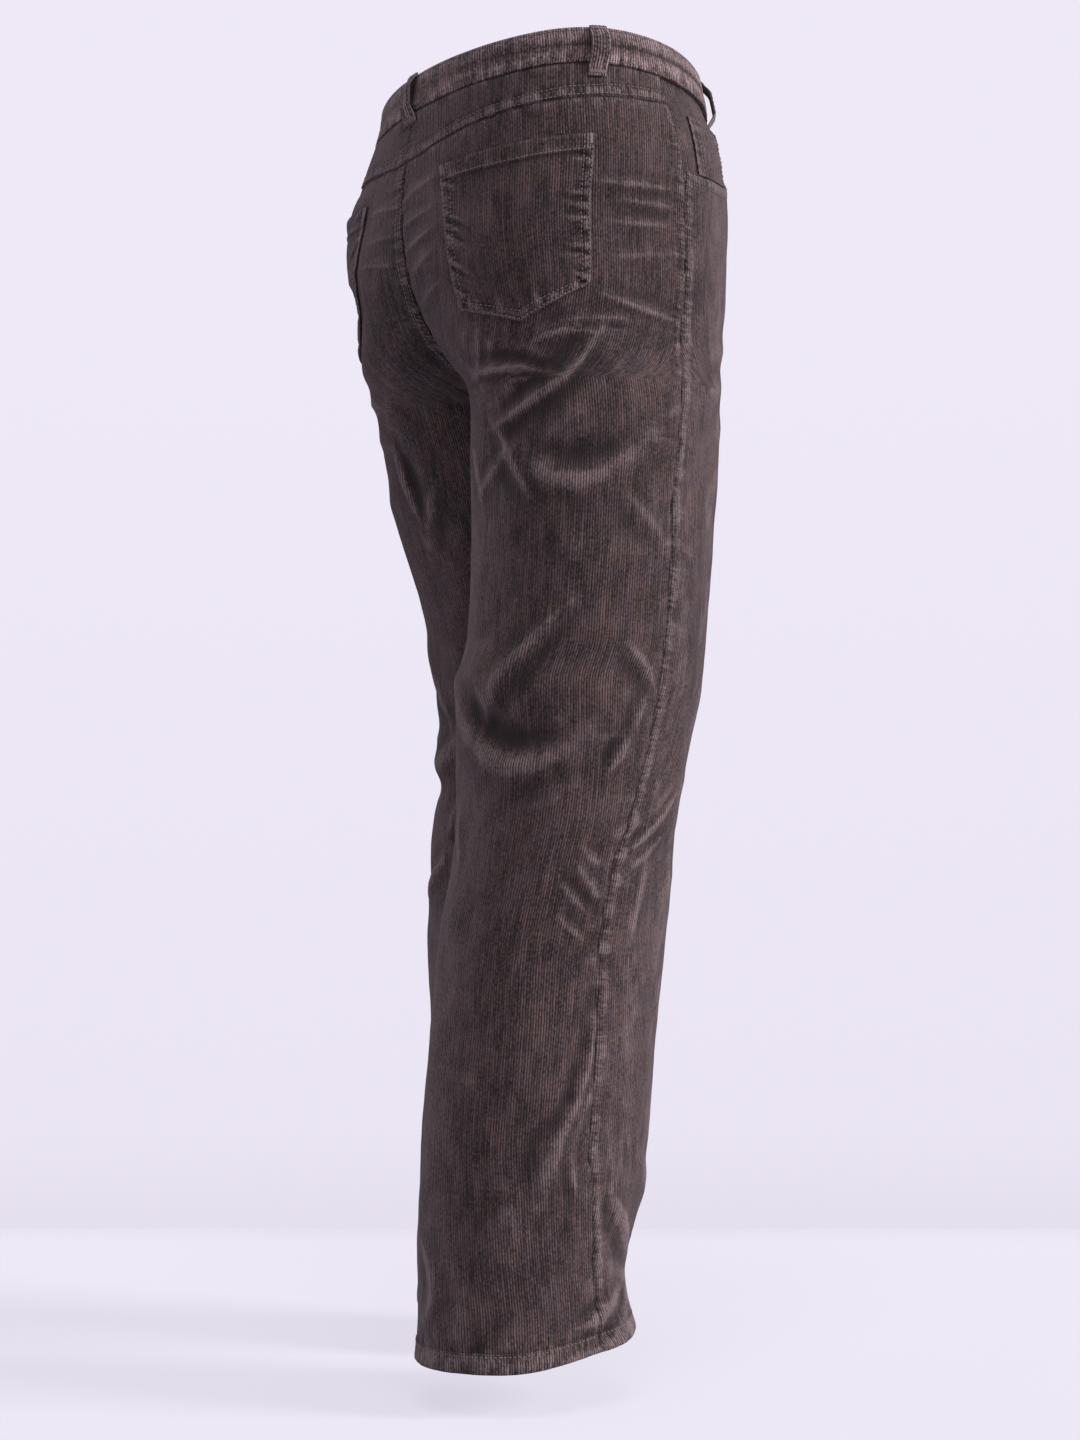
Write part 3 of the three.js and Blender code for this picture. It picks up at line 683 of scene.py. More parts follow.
    def relief(self, angle, z):
        """How far the creases and swells lift the cloth."""
        angle, z = as_arrays(angle, z)
        round_leg = np.radians(angle) * CREASE_RADIUS
        lift = np.zeros(angle.shape)
        for crease in self.creases:
            add_crease(lift, crease, round_leg, z)
        uneven = bpy.context.scene.trousers_cloth.unevenness
        below_band = smooth(-z, 34, 130)
        for first, second, swell in self.swells:
            turns = round_leg / swell["around"]
            wave = np.sin(2 * math.pi * (turns + 0.35 * z / swell["down"]) + first)
            wave = wave * np.cos(2 * math.pi * z / swell["down"] + second)
            lift += uneven * below_band * swell["height"] * wave
        return lift

    def cloth(self, angle, z, lift, crossing=False):
        """Points of the cloth, lifted off the form, and the directions that they face."""
        normal = self.outward(angle, z)
        height = self.relief(angle, z) + lift
        points = self.form(angle, z) + normal * height[..., None]
        if not crossing:
            points[..., 0] = self.side * np.maximum(self.side * points[..., 0], -SEAM_LAP)
        return points, normal


def add_crease(lift, crease, round_leg, z):
    """Adds one crease to the lifts, where it reaches."""
    t = np.linspace(0, 1, CREASE_STATIONS + 1)
    angles = mix(mix(crease["a0"], crease["a1"], t), mix(crease["a1"], crease["a2"], t), t)
    heights = mix(mix(crease["z0"], crease["z1"], t), mix(crease["z1"], crease["z2"], t), t)
    around = np.radians(angles) * CREASE_RADIUS
    reach = 4.5 * crease["width"]
    near = ((round_leg > around.min() - reach) & (round_leg < around.max() + reach)
            & (z > heights.min() - reach) & (z < heights.max() + reach))
    if not near.any():
        return
    x = round_leg[near]
    y = z[near]
    distance = np.full(x.shape, np.inf)
    beside = np.zeros(x.shape)
    place = np.zeros(x.shape)
    lies_across = abs(around[-1] - around[0]) > abs(heights[-1] - heights[0])
    for i in range(CREASE_STATIONS):
        run = around[i + 1] - around[i]
        fall = heights[i + 1] - heights[i]
        share = ((x - around[i]) * run + (y - heights[i]) * fall) / (run * run + fall * fall)
        share = np.clip(share, 0, 1)
        off_x = x - around[i] - share * run
        off_y = y - heights[i] - share * fall
        here = np.hypot(off_x, off_y)
        nearer = here < distance
        distance = np.where(nearer, here, distance)
        beside = np.where(nearer, off_y if lies_across else off_x, beside)
        place = np.where(nearer, (i + share) / CREASE_STATIONS, place)
    ending = np.sin(math.pi * np.clip(place, 0.05, 0.95)) ** 0.8
    width = crease["width"] * mix(0.75, 1.1, ending)
    signed = np.sign(beside) * distance * np.sign(crease["dip"] or 1)
    sharp = 0.66 * crease["crisp"]
    fold = np.exp(-(distance / (0.42 * width)) ** 1.3)
    ridge = sharp * fold + (1 - sharp) * bell(distance, 1.15 * width)
    trough = abs(crease["dip"]) * bell(signed - 1.9 * width, 1.15 * width)
    lift[near] += crease["height"] * ending * (ridge - trough)


def pucker(distance, along, reach, spacing, height, source):
    """Short wrinkles that a seam draws in, standing across it and fading away from it."""
    share = bpy.context.scene.trousers_cloth.puckering
    lengths = reach * (1 + 0.5 * wander(along, spacing * 1.7, source))
    return share * height * wander(along, spacing, source) * np.exp(-np.abs(distance / lengths) ** 1.6)


def blurred(values, steps):
    """The values, averaged twice over a few points each way."""
    for axis in (0, 1, 0, 1):
        pad = [(0, 0), (0, 0)]
        pad[axis] = (steps + 1, steps)
        total = np.cumsum(np.pad(values, pad, mode="edge"), axis=axis)
        length = values.shape[axis]
        high = np.take(total, range(2 * steps + 1, 2 * steps + 1 + length), axis=axis)
        low = np.take(total, range(length), axis=axis)
        values = (high - low) / (2 * steps + 1)
    return values


def crests(lift, spread=0.5, steps=3):
    """From -1 in the troughs of a grid of lifts to 1 on its crests."""
    return np.tanh((lift - blurred(lift, steps)) / spread)


def edge_fractions(width, step, first=(0.0, 0.7, 1.5, 2.4, 3.5, 4.9, 6.6, 8.6, 11.0)):
    """Fractions across a width that are close together along both edges."""
    inner = np.arange(first[-1] + step, width / 2, step)
    half = np.concatenate([first, inner]) / width
    return np.unique(np.round(np.concatenate([half, [0.5], 1 - half]), 7))


def sheet_mesh(name, outer, inner, uv, wear_and_painted_light, pull, materials):
    """A closed wall between an outer and an inner grid of points, as a mesh in metres.

    Both grids have odd counts of rows and columns, and the inner side uses every second one.
    """
    rows, columns = outer.shape[:2]
    index = np.arange(rows * columns).reshape(rows, columns)
    inside = inner[::2, ::2]
    under = rows * columns + np.arange(inside.shape[0] * inside.shape[1]).reshape(inside.shape[:2])
    front = [index[:-1, :-1], index[1:, :-1], index[1:, 1:], index[:-1, 1:]]
    behind = [under[:-1, :-1], under[:-1, 1:], under[1:, 1:], under[1:, :-1]]
    rim = []
    for line, base, turned in ((index[0], under[0], False), (index[-1], under[-1], True),
                               (index[:, 0], under[:, 0], True), (index[:, -1], under[:, -1], False)):
        side = [line[:-2:2], line[1::2], line[2::2], base[1:], base[:-1]]
        rim.append(np.stack(side[::-1] if turned else side, axis=1))
    groups = [np.stack([corner.ravel() for corner in front], axis=1), *rim,
              np.stack([corner.ravel() for corner in behind], axis=1)]
    down = outer[1:, :-1] - outer[:-1, :-1]
    across = outer[:-1, 1:] - outer[:-1, :-1]
    if (np.cross(down, across) * (outer - inner)[:-1, :-1]).sum() < 0:
        groups = [group[:, ::-1] for group in groups]
    corners = np.concatenate([group.ravel() for group in groups])
    sizes = np.concatenate([np.full(len(group), group.shape[1]) for group in groups])
    points = np.concatenate([outer.reshape(-1, 3), inside.reshape(-1, 3)]) * MM
    mesh = bpy.data.meshes.new(name)
    mesh.vertices.add(len(points))
    mesh.vertices.foreach_set("co", points.ravel())
    mesh.loops.add(len(corners))
    mesh.loops.foreach_set("vertex_index", corners)
    mesh.polygons.add(len(sizes))
    mesh.polygons.foreach_set("loop_start", np.cumsum(sizes) - sizes)
    mesh.polygons.foreach_set("use_smooth", np.ones(len(sizes), dtype=bool))
    for material in materials:
        mesh.materials.append(material)
    kinds = np.zeros(len(sizes), dtype=int)
    kinds[-len(groups[-1]):] = len(materials) - 1
    mesh.polygons.foreach_set("material_index", kinds)
    mesh.update(calc_edges=True)
    both = np.concatenate([uv.reshape(-1, 2), uv[::2, ::2].reshape(-1, 2)]) * MM
    mesh.uv_layers.new(name="cloth").data.foreach_set("uv", both[corners].ravel())
    # Per point, how much paler the pile is made: painted highlight on crests, real wear on edges; below
    # zero, painted shade in troughs.
    worn_and_lit = mesh.attributes.new("wear_and_painted_light", "FLOAT", "POINT")
    worn_and_lit.data.foreach_set("value", np.concatenate([wear_and_painted_light.ravel(), 0 * wear_and_painted_light[::2, ::2].ravel()]))
    drawn = mesh.attributes.new("pull", "FLOAT_VECTOR", "POINT")
    shares = np.zeros((len(points), 3))
    shares[:rows * columns, :2] = pull.reshape(-1, 2)
    drawn.data.foreach_set("vector", shares.ravel())
    mesh.set_sharp_from_angle(angle=math.radians(42))
    return mesh


def show(name, mesh):
    piece = bpy.data.objects.new(name, mesh)
    bpy.context.scene.collection.objects.link(piece)
    return piece


def drawn_in(shape, beside=0.0, below=0.0):
    """How strongly seams draw the cloth in: the seams beside a place, and those above or below it."""
    return np.stack([np.broadcast_to(beside, shape), np.broadcast_to(below, shape)], axis=-1)


def on_half(half, angle, z, lift, fine, wall):
    """Outer and inner points of a piece that lies on a half, with its fine form outside."""
    return [half.cloth(angle, z, level)[0] for level in (lift + fine, lift - wall + 0 * fine)]


def in_pocket_hem(from_top):
    """1 in the turned hem of a back pocket, and 0 below it."""
    return 1 - smooth(from_top, POCKET_HEM - 0.4, POCKET_HEM + 1.2)


def cloth_piece(node, outer, inner, base, uv, wear_and_painted_light, pull, slot):
    """Lays down one piece of cloth in place of its solid."""
    name = node + "_cloth"
    finishes = [finish(slot), finish("zip_tape" if slot == "zip_tape" else "wrong_side")]
    piece = show(name, sheet_mesh(name, outer, inner, uv, wear_and_painted_light, pull, finishes))
    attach(piece, BODY)
    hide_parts(node)
    return piece


def grain(half, face, fraction, z):
    """Where a point lies on the cloth, in millimetres across and along the ribs."""
    across = half.width(face, z) * (fraction - 0.5)
    return np.stack([face * across + 1000 * (face + 2), -z], axis=-1)


# Stretches of a panel's rows: the lowest height, the share of the mesh step, and 1 where the
# count is odd
LEVELS = named(["bottom", "share", "odd"], [
    [-325, 0.70, 0],
    [-640, 1.05, 0],
    [HEM_TOP + 3, 1.4, 1],
])


def panel_levels(top, step):
    """Heights of the rows of a leg's panel, closer at its top edge and at its hem."""
    start = top - np.array([0, 0.8, 1.8, 3.0, 4.6, 6.6, 9.0])
    body = []
    level = start[-1]
    for stretch in LEVELS:
        count = 2 * int((level - stretch["bottom"]) / (step * stretch["share"]) / 2) + stretch["odd"]
        body.append(np.linspace(level, stretch["bottom"], count + 1)[1:])
        level = stretch["bottom"]
    hem = np.array([HEM_TOP + 1.2, HEM_TOP, HEM_TOP - SEAM_GAP, -998.6, -1000.5, -1003, -1006, -1009,
                    -1010.6, -1011.5, HEM_BOTTOM])
    return np.concatenate([start, *body, hem])


def below_edge(half, edge, angle, z):
    """How far a place lies below an edge, measured square to the edge."""
    per_degree = np.linalg.norm(half.form(angle + 0.5, z) - half.form(angle - 0.5, z), axis=-1)
    slope = (edge(angle + 0.5) - edge(angle - 0.5)) / np.maximum(per_degree, 0.4)
    return (edge(angle) - z) / np.sqrt(1 + slope ** 2)


def leg_panel(half, face):
    """A front or back from its top edge to the hem: grids of its outer and inner points."""
    step = bpy.context.scene.trousers_cloth.mesh_step / MM
    edge = back_top if face > 0 else opening_edge
    top = float(back_top(0.0)) if face > 0 else UNDER_BAND
    levels = panel_levels(top, step)
    fractions = edge_fractions(half.width(face, -450), step)
    level, fraction = np.meshgrid(levels, fractions, indexing="ij")
    z = level.copy()
    for _ in range(5):
        angle = half.angle_across(face, z, fraction)
        z = (level + (edge(angle) - top) * (1 - smooth(top - level, 0, TOP_FADE))
             + hem_rise(angle) * smooth(-level, -HEM_BOTTOM - HEM_FADE, -HEM_BOTTOM))
    fine, pull = panel_detail(half, face, angle, z, level, fraction, edge)
    relief = half.relief(angle, z)
    normal = half.outward(angle, z)
    base = half.form(angle, z)
    proud = np.where(level < HEM_TOP, HEM_EXTRA, 0)
    outer = base + normal * (relief + fine + proud)[..., None]
    inner = base + normal * (relief - CLOTH - proud)[..., None]
    for grid in (outer, inner):
        grid[..., 0] = half.side * np.maximum(half.side * grid[..., 0], -SEAM_LAP)
    # Painted light: crests of folds and puckers are made paler as highlight and troughs darker as
    # shade, and the hem is made paler.
    spread = mix(0.42, 0.62, smooth(-z, 300, 460))
    wear_and_painted_light = crests(relief, spread, 2) + 0.5 * crests(fine + proud, 0.4) + 0.35 * smooth(-level, 996, 998)
    # Painted sheen: the fronts are made paler overall, in streaks along the ribs.
    if face < 0:
        across = half.width(face, z) * fraction
        wear_and_painted_light += 0.18 + 0.28 * wander(across + 0.05 * z, 8, chance(half.side + 2, 18))
    return outer, inner, base, grain(half, face, fraction, z), wear_and_painted_light, pull


def panel_detail(half, face, angle, z, level, fraction, edge):
    """The fine relief of a panel's outer side, and how strongly its seams draw it in."""
    width = half.width(face, z)
    from_side = width * fraction
    from_inner = width - from_side
    below_top = below_edge(half, edge, angle, z)
    side_key = half.side + 2
    hips = smooth(z, CROTCH - 20, CROTCH + 20)
    felled = face > 0 and half.side > 0
    fine = -0.8 * bell(from_side, 1.5) - 0.7 * bell(from_inner, 1.5)
    if face > 0:
        fine += 0.6 * hips * bell(from_side - 4.2, 2.6)
    else:
        fine += 0.55 * bell(from_side - 5.5, 4.0) - 0.25 * bell(from_side - 11.5, 1.8)
    fine += (0.7 if felled else 0.25) * bell(from_inner - 5.0, 4.0)
    fine += pucker(from_side, z + 0.3 * from_side, 14, 9, 0.9, chance(side_key, 11))
    fine += hips * pucker(from_side, z, 10, 5, 0.8, chance(side_key, face + 12))
    fine += hips * pucker(from_inner, z, 12, 5.5, 1.1 if felled else 0.6, chance(side_key, face + 13))
    fine += (1 - hips) * pucker(from_inner, z, 12, 13, 0.5, chance(side_key, 14))
    around = np.radians(angle) * CREASE_RADIUS
    fine += pucker(below_top, around, 9, 6, 0.6, chance(side_key, face + 15))
    fine -= 0.7 * bell(below_top, 1.4)
    if face < 0:
        fine += 0.6 * bell(below_top - 4.5, 3.2) * smooth(-angle, -1, 4) * smooth(angle, -64, -52)
        fine -= 0.3 * bell(below_top - SECOND_ROW, 1.2) * smooth(angle, -64, -52)
    above_hem = level - HEM_TOP
    roping = wander(around + 0.8 * z, 7, chance(side_key, face + 16))
    fine += 0.45 * roping * smooth(-level, 990, 999)
    fine += pucker(np.abs(above_hem), around, 10, 9, 0.5, chance(side_key, face + 17)) * (above_hem > 0)
    fine -= 0.45 * bell(above_hem + 1.8, 1.3)
    fine -= 0.5 * smooth(-level, 1009.5, 1012)
    beside = mix(0.75 if face < 0 else 0.3, 1.0, hips) * faded(from_side, 11)
    beside = beside + (1.2 if felled else 0.5) * hips * faded(from_inner, 12)
    below = 0.7 * faded(below_top, 9) + 0.8 * faded(np.maximum(above_hem, 0), 9)
    return np.clip(fine, -1.0, 2.0), drawn_in(fine.shape, beside, below)


def faded(distance, reach):
    """The share of a seam's pull at a distance from it."""
    return np.exp(-np.abs(distance / reach) ** 2)


def build_panels(face, word):
    for name, half in halves().items():
        outer, inner, base, uv, wear_and_painted_light, pull = leg_panel(half, face)
        cloth_piece(f"{word}_{name}", outer, inner, base, uv, wear_and_painted_light, pull, "corduroy")


def build_yokes():
    step = 1.9
    for name, half in halves().items():
        width = half.width(1, -45)
        across = edge_fractions(width, step)
        heights = edge_fractions(30, step, (0.0, 0.7, 1.5, 2.4, 3.5, 4.9))
        down, fraction = np.meshgrid(heights, across, indexing="ij")
        z = mix(UNDER_BAND, -55, down)
        for _ in range(5):
            angle = half.angle_across(1, z, fraction)
            z = mix(UNDER_BAND, yoke_seam(angle), down)
        above_seam = z - yoke_seam(angle)
        below_band = UNDER_BAND - z
        around = np.radians(angle) * CREASE_RADIUS
        key = half.side + 2
        local = half.width(1, z)
        fine = -0.7 * bell(above_seam, 1.4) + 0.5 * bell(above_seam - 4.6, 3.2)
        fine -= 0.35 * bell(above_seam - SECOND_ROW, 1.3)
        fine += pucker(above_seam - 3, around, 8, 5.5, 0.75, chance(key, 21))
        fine -= 0.6 * bell(below_band, 1.3)
        fine += pucker(below_band, around, 8, 9, 0.4, chance(key, 22))
        fine -= 0.7 * bell(local * fraction, 1.4) + 0.6 * bell(local * (1 - fraction), 1.4)
        fine += pucker(local * (1 - fraction), z, 10, 5.5, 0.8, chance(key, 23))
        fine = np.clip(fine, -0.95, 1.5)
        outer, inner = on_half(half, angle, z, 0, fine, CLOTH)
        uv = grain(half, 1, fraction, z) + np.array([2.7, 31])
        # Painted light: pucker crests are made paler as highlight, and troughs darker as shade.
        wear_and_painted_light = crests(fine, 0.4)
        pull = drawn_in(fine.shape, faded(local * (1 - fraction), 10),
                        1.1 * bell(above_seam - 5, 5) + 0.4 * faded(below_band, 7))
        cloth_piece(f"yoke_{name}", outer, inner, half.form(angle, z), uv, wear_and_painted_light, pull, "corduroy")


def pocket_place(across, down):
    """Angle and height on a back, by the fractions across the pocket and down it."""
    foot = np.where(
        across < POCKET_TURN,
        mix(POCKET_FOOT["zInner"], POCKET_FOOT["zPoint"], across / POCKET_TURN),
        mix(POCKET_FOOT["zPoint"], POCKET_FOOT["zOuter"], (across - POCKET_TURN) / (1 - POCKET_TURN)))
    inner = mix(POCKET["inner"], POCKET_FOOT["inner"], down)
    outer = mix(POCKET["outer"], POCKET_FOOT["outer"], down)
    top = mix(POCKET["topInner"], POCKET["topOuter"], across)
    return mix(inner, outer, across), mix(top, foot, down)


def pocket_size(half):
    """Width across the middle of a back pocket, and its depth."""
    share = np.linspace(0, 1, 40)
    across = half.form(*pocket_place(share, share * 0 + 0.5))
    down = half.form(*pocket_place(share * 0 + 0.48, share))
    return [np.linalg.norm(np.diff(line, axis=0), axis=-1).sum() for line in (across, down)]


def build_back_pockets():
    for name, half in halves().items():
        width, depth = pocket_size(half)
        step = 1.15
        near = (0.0, 0.5, 1.0, 1.6, 2.3, 3.2)
        down, across = np.meshgrid(
            edge_fractions(depth, step, near), edge_fractions(width, step, near), indexing="ij")
        angle, z = pocket_place(across, down)
        to_side = np.minimum(across, 1 - across) * width
        to_foot = (1 - down) * depth
        to_edge = np.minimum(to_side, to_foot)
        from_top = down * depth
        key = half.side + 2
        in_hem = in_pocket_hem(from_top)
        fine = -0.7 * bell(to_edge, 0.8) + 0.35 * bell(to_edge - 1.3, 1.0)
        fine -= 0.4 * bell(to_edge - EDGE_ROW, 0.7) + 0.4 * bell(to_edge - SECOND_ROW, 0.9)
        fine += 0.4 * bell(to_edge - 5.2, 2.2)
        fine -= 0.6 * bell(from_top, 0.8) + 0.4 * bell(from_top - POCKET_HEM, 1.0) * (to_side > 1)
        along = np.where(to_side < to_foot, z, np.radians(angle) * CREASE_RADIUS)
        inside = smooth(to_edge, 2, 5)
        slanted = along + np.where(across < 0.5, 0.55, -0.12) * to_side * (to_side < to_foot)
        fine += pucker(to_edge - 6, slanted, 11, 4.6, 1.25, chance(key, 31)) * mix(0.35, 1, inside)
        fine += pucker(to_edge - 8, slanted, 10, 10, 0.6, chance(key, 33)) * inside
        fine += 0.9 * smooth(to_side, 8, 46) * smooth(to_foot, 8, 50) * smooth(from_top, 12, 40)
        fine += pucker(from_top - POCKET_HEM, np.radians(angle) * CREASE_RADIUS, 9, 9, 0.4,
                       chance(key, 32)) * (1 - in_hem)
        thick = CLOTH + HEM_EXTRA * in_hem
        base, normal = half.cloth(angle, z, z * 0)
        outer = base + normal * (POCKET_GAP + thick + fine)[..., None]
        inner = base + normal * POCKET_GAP
        lean = 0.04 * (across - 0.5) * width
        local = np.stack([(across - 0.5) * width + BOLT["back_pocket"], from_top + lean], axis=-1)
        # Painted light on pucker crests and troughs, and real wear along the pocket's edges.
        wear_and_painted_light = crests(fine + thick, 0.4)
        wear_and_painted_light = np.clip(wear_and_painted_light + 0.5 * bell(to_edge - 0.5, 0.9), -1, 1)
        drawn = faded(to_side - 7, 8) * smooth(to_side, 1, 4.5) * smooth(from_top, 15, 20)
        pull = drawn_in(fine.shape, drawn,
                        0.8 * faded(to_foot - 5, 7) + 0.5 * in_hem)
        cloth_piece(f"back_pocket_{name}", outer, inner, half.form(angle, z), local, wear_and_painted_light, pull,
                    "pocket_corduroy")


def coin_place(down, across):
    """Angle and height on the right facing, by the fractions down the coin pocket and across it."""
    angle = mix(COIN["left"], COIN["right"], across)
    return angle, mix(COIN["top"], opening_edge(angle) + COIN_CLEARANCE, down)


def build_front_pockets():
    for name, half in halves().items():
        down, across = np.meshgrid(np.linspace(0, 1, 45), np.linspace(0, 1, 71), indexing="ij")
        start = half.angle_across(-1, UNDER_BAND, 0)
        angle = mix(start, -FACING_REACH, across)
        bottom = opening_edge(angle * OPENING_REACH / FACING_REACH) - FACING_OVERLAP
        z = mix(UNDER_BAND + BEHIND_BAND, bottom, down)
        below_band = UNDER_BAND - z
        around = np.radians(angle) * CREASE_RADIUS
        fine = pucker(below_band, around, 9, 9, 0.35, chance(half.side + 2, 41))
        fine = np.clip(fine * smooth(below_band, 0, 5) * (across < 0.95), -0.5, 0.4)
        outer, inner = on_half(half, angle, z, UNDER_FRONT, fine, CLOTH)
        uv = np.stack([np.radians(angle) * FRONT_RADIUS + BOLT["facing"], -z], axis=-1)
        pull = drawn_in(fine.shape, below=0.6 * faded(below_band, 8))
        # Painted light: pucker crests are made paler as highlight, and troughs darker as shade.
        cloth_piece(f"pocket_facing_{name}", outer, inner, half.form(angle, z), uv,
                    crests(fine, 0.4), pull, "corduroy")
    half = halves()["right"]
    down, across = np.meshgrid(
        *[edge_fractions(COIN[side], 1.4, (0.0, 0.5, 1.1, 1.9)) for side in ("depth", "width")],
        indexing="ij")
    angle, z = coin_place(down, across)
    to_side = np.minimum(across, 1 - across) * COIN["width"]
    fine = -0.4 * bell(to_side, 0.8) - 0.4 * bell(COIN["top"] - z, 0.8)
    fine += 0.2 * smooth(to_side, 3, 16)
    fine += pucker(to_side - 4, z, 7, 5, 0.5, chance(61))
    outer, inner = on_half(half, angle, z, COIN_LIFT, fine, COIN_WALL)
    uv = np.stack([np.radians(angle) * FRONT_RADIUS + BOLT["coin_pocket"], -z], axis=-1)
    # Painted light on pucker crests and troughs, and real wear along the sides.
    wear_and_painted_light = np.clip(crests(fine, 0.3) + 0.9 * bell(to_side - 0.6, 1.4), -1, 1)
    pull = drawn_in(fine.shape, 0.8 * faded(to_side, 6), 0.5)
    cloth_piece("coin_pocket", outer, inner, half.form(angle, z), uv, wear_and_painted_light, pull, "corduroy")


def ring(degrees, z, lift):
    """Points on the ring of the waist, by the degrees from the front's middle over the right side."""
    degrees, z, lift = as_arrays(degrees, z, lift)
    turn = np.mod(degrees, 360)
    points = np.zeros(turn.shape + (3,))
    normals = np.zeros(turn.shape + (3,))
    for half, mask, share in (
        (halves()["right"], turn < 180, turn / 180),
        (halves()["left"], turn >= 180, (360 - turn) / 180),
    ):
        if mask.any():
            height = z[mask]
            front = half.inner_angle(-1, height)
            angle = mix(front, half.inner_angle(1, height), share[mask])
            points[mask], normals[mask] = half.cloth(angle, height, lift[mask], True)
    return points, normals


def band_lift(degrees):
    """The band's lift off the form, lower where its right end lies under the left one."""
    under = BAND_WALL + SEAM_GAP
    return BAND_PROUD - under * (1 - smooth(degrees, 1, 1 + BAND_STEP))


BAND_PROFILE = named(["z", "rise"], [
    [0, -1.1], [-0.4, -0.45], [-1.2, 0.05], [-2.4, -0.15], [-3.6, 0.15], [-6, 0.22], [-9, 0.22],
    [-11.5, 0.18], [-13.2, 0.08], [-14.4, -0.06], [-15.6, 0.06], [-17.5, 0.16], [-20, 0.22],
    [-23.5, 0.22], [-26, 0.15], [-27.2, -0.2], [-28.4, 0.05], [-29.4, -0.25], [-30, -0.7],
])


def build_waistband():
    degrees = np.linspace(-BAND_UNDERLAP, 359.9, 561)
    heights = np.array([row["z"] for row in BAND_PROFILE], dtype=float)
    rises = np.array([row["rise"] for row in BAND_PROFILE])
    z, turn = np.meshgrid(heights, degrees, indexing="ij")
    around = turn * BAND_DEGREE
    middle = smooth(-z, 3, 9) * smooth(z, -27, -21)
    fine = rises[:, None] + 0.3 * middle * wander(around + 0.6 * z, 21, chance(51))
    fine = fine + 0.3 * wander(around, 10, chance(52)) * bell(z + BAND_HEIGHT, 8)
    fine = fine + 0.2 * wander(around, 12, chance(53)) * bell(z, 7)
    fine = fine + pucker(z + 27.5, around, 6, 5, 0.45, chance(55))
    crease_depth = 0.55 * wander(around, 75, chance(54))
    fine = fine + crease_depth * bell(z + 14.4, 1.8)
    base, normal = ring(turn, z, band_lift(turn))
    outer = base + normal * fine[..., None]
    inner = base - normal * BAND_WALL
    uv = np.stack([around, -z], axis=-1)
    # Painted light on crests and troughs, and real wear along the top edge.
    wear_and_painted_light = np.clip(crests(fine, 0.35) + 0.5 * bell(z, 1.8), -1, 1)
    pull = drawn_in(fine.shape, below=0.9 * faded(z + BAND_HEIGHT, 8) + 0.5 * faded(z, 6))
    cloth_piece("waistband", outer, inner, base, uv, wear_and_painted_light, pull, "band_corduroy")


def per_degree(degrees):
    """Millimetres along the top of the band for one degree of the ring."""
    return np.linalg.norm(ring(degrees - 0.5, 0, 0)[0] - ring(degrees + 0.5, 0, 0)[0])


def loop_surface(loop, share, sideways, lift):
    """Points and directions of a belt loop, by the share of its length and the offset sideways."""
    z = LOOP_TOP - LOOP_LENGTH * share
    stand = LOOP_GAP * smooth(share, 0, 0.3) * (1 - smooth(share, 0.62, 0.97))
    foot = mix(SEAM_GAP + BAND_PROUD + 0.1, loop["rest"] + SEAM_GAP, smooth(share, 0.75, 1))
    degrees = loop["degrees"] + sideways / per_degree(loop["degrees"])
    return ring(degrees, z, foot + stand + lift)


def build_belt_loops():
    for i, loop in enumerate(LOOPS):
        share, sideways = np.meshgrid(
            edge_fractions(LOOP_LENGTH, 1.3, (0.0, 0.5, 1.1)),
            (edge_fractions(LOOP_WIDTH, 1.0, (0.0, 0.35, 0.8, 1.4, 2.1)) - 0.5) * LOOP_WIDTH,
            indexing="ij")
        to_edge = LOOP_WIDTH / 2 - np.abs(sideways)
        to_end = np.minimum(share, 1 - share) * LOOP_LENGTH
        fine = -0.6 * bell(to_edge, 0.6) - 0.35 * bell(to_edge - 2.6, 0.9) + 0.3 * bell(sideways, 3.2)
        fine -= 0.5 * bell(to_end, 1.0) + 0.4 * bell(to_end - 2.6, 1.4)
        fine += 0.25 * wander(share * LOOP_LENGTH, 8, chance(61, i))
        outer, _ = loop_surface(loop, share, sideways, LOOP_WALL + fine)
        inner, _ = loop_surface(loop, share, sideways, 0 * fine)
        uv = np.stack([
            sideways + BOLT["loops"] + BOLT["loop_spacing"] * i, share * LOOP_LENGTH], axis=-1)
        # Painted light on crests and troughs, and real wear along the edges.
        wear_and_painted_light = np.clip(crests(fine, 0.3) + 0.6 * bell(to_edge, 1.0), -1, 1)
        cloth_piece(loop["name"], outer, inner, (outer + inner) / 2, uv, wear_and_painted_light, drawn_in(fine.shape),
                    "band_corduroy")


def fly_surface(x, z, lift):
    """Points behind the fly, by the millimetres from the middle towards the left, and the height."""
    x, z, lift = as_arrays(x, z, lift)
    points = np.zeros(x.shape + (3,))
    normals = np.zeros(x.shape + (3,))
    for half, mask in ((halves()["right"], x < 0), (halves()["left"], x >= 0)):
        if mask.any():
            angle = half.inner_angle(-1, z[mask], np.abs(x[mask]))
            points[mask], normals[mask] = half.cloth(angle, z[mask], lift[mask], True)
    return points, normals


def fly_strip(node, start, width, length, lift, thickness, slot):
    """One flat strip behind the fly, by where it starts beside the middle, and its width."""
    down, across = np.meshgrid(np.linspace(0, 1, 81), np.linspace(0, 1, 23), indexing="ij")
    x = mix(start, start + width, across)
    z = mix(UNDER_BAND, UNDER_BAND - length, down)
    to_edge = np.minimum(across, 1 - across) * width
    fine = -0.25 * bell(to_edge, 1.2)
    outer, _ = fly_surface(x, z, lift + fine)
    inner, _ = fly_surface(x, z, lift - thickness)
    uv = np.stack([x, -z], axis=-1)
    base, _ = fly_surface(x, z, 0 * x)
    # Painted light: crests are made paler as highlight, and troughs darker as shade.
    cloth_piece(node, outer, inner, base, uv, crests(fine, 0.3), drawn_in(fine.shape), slot)


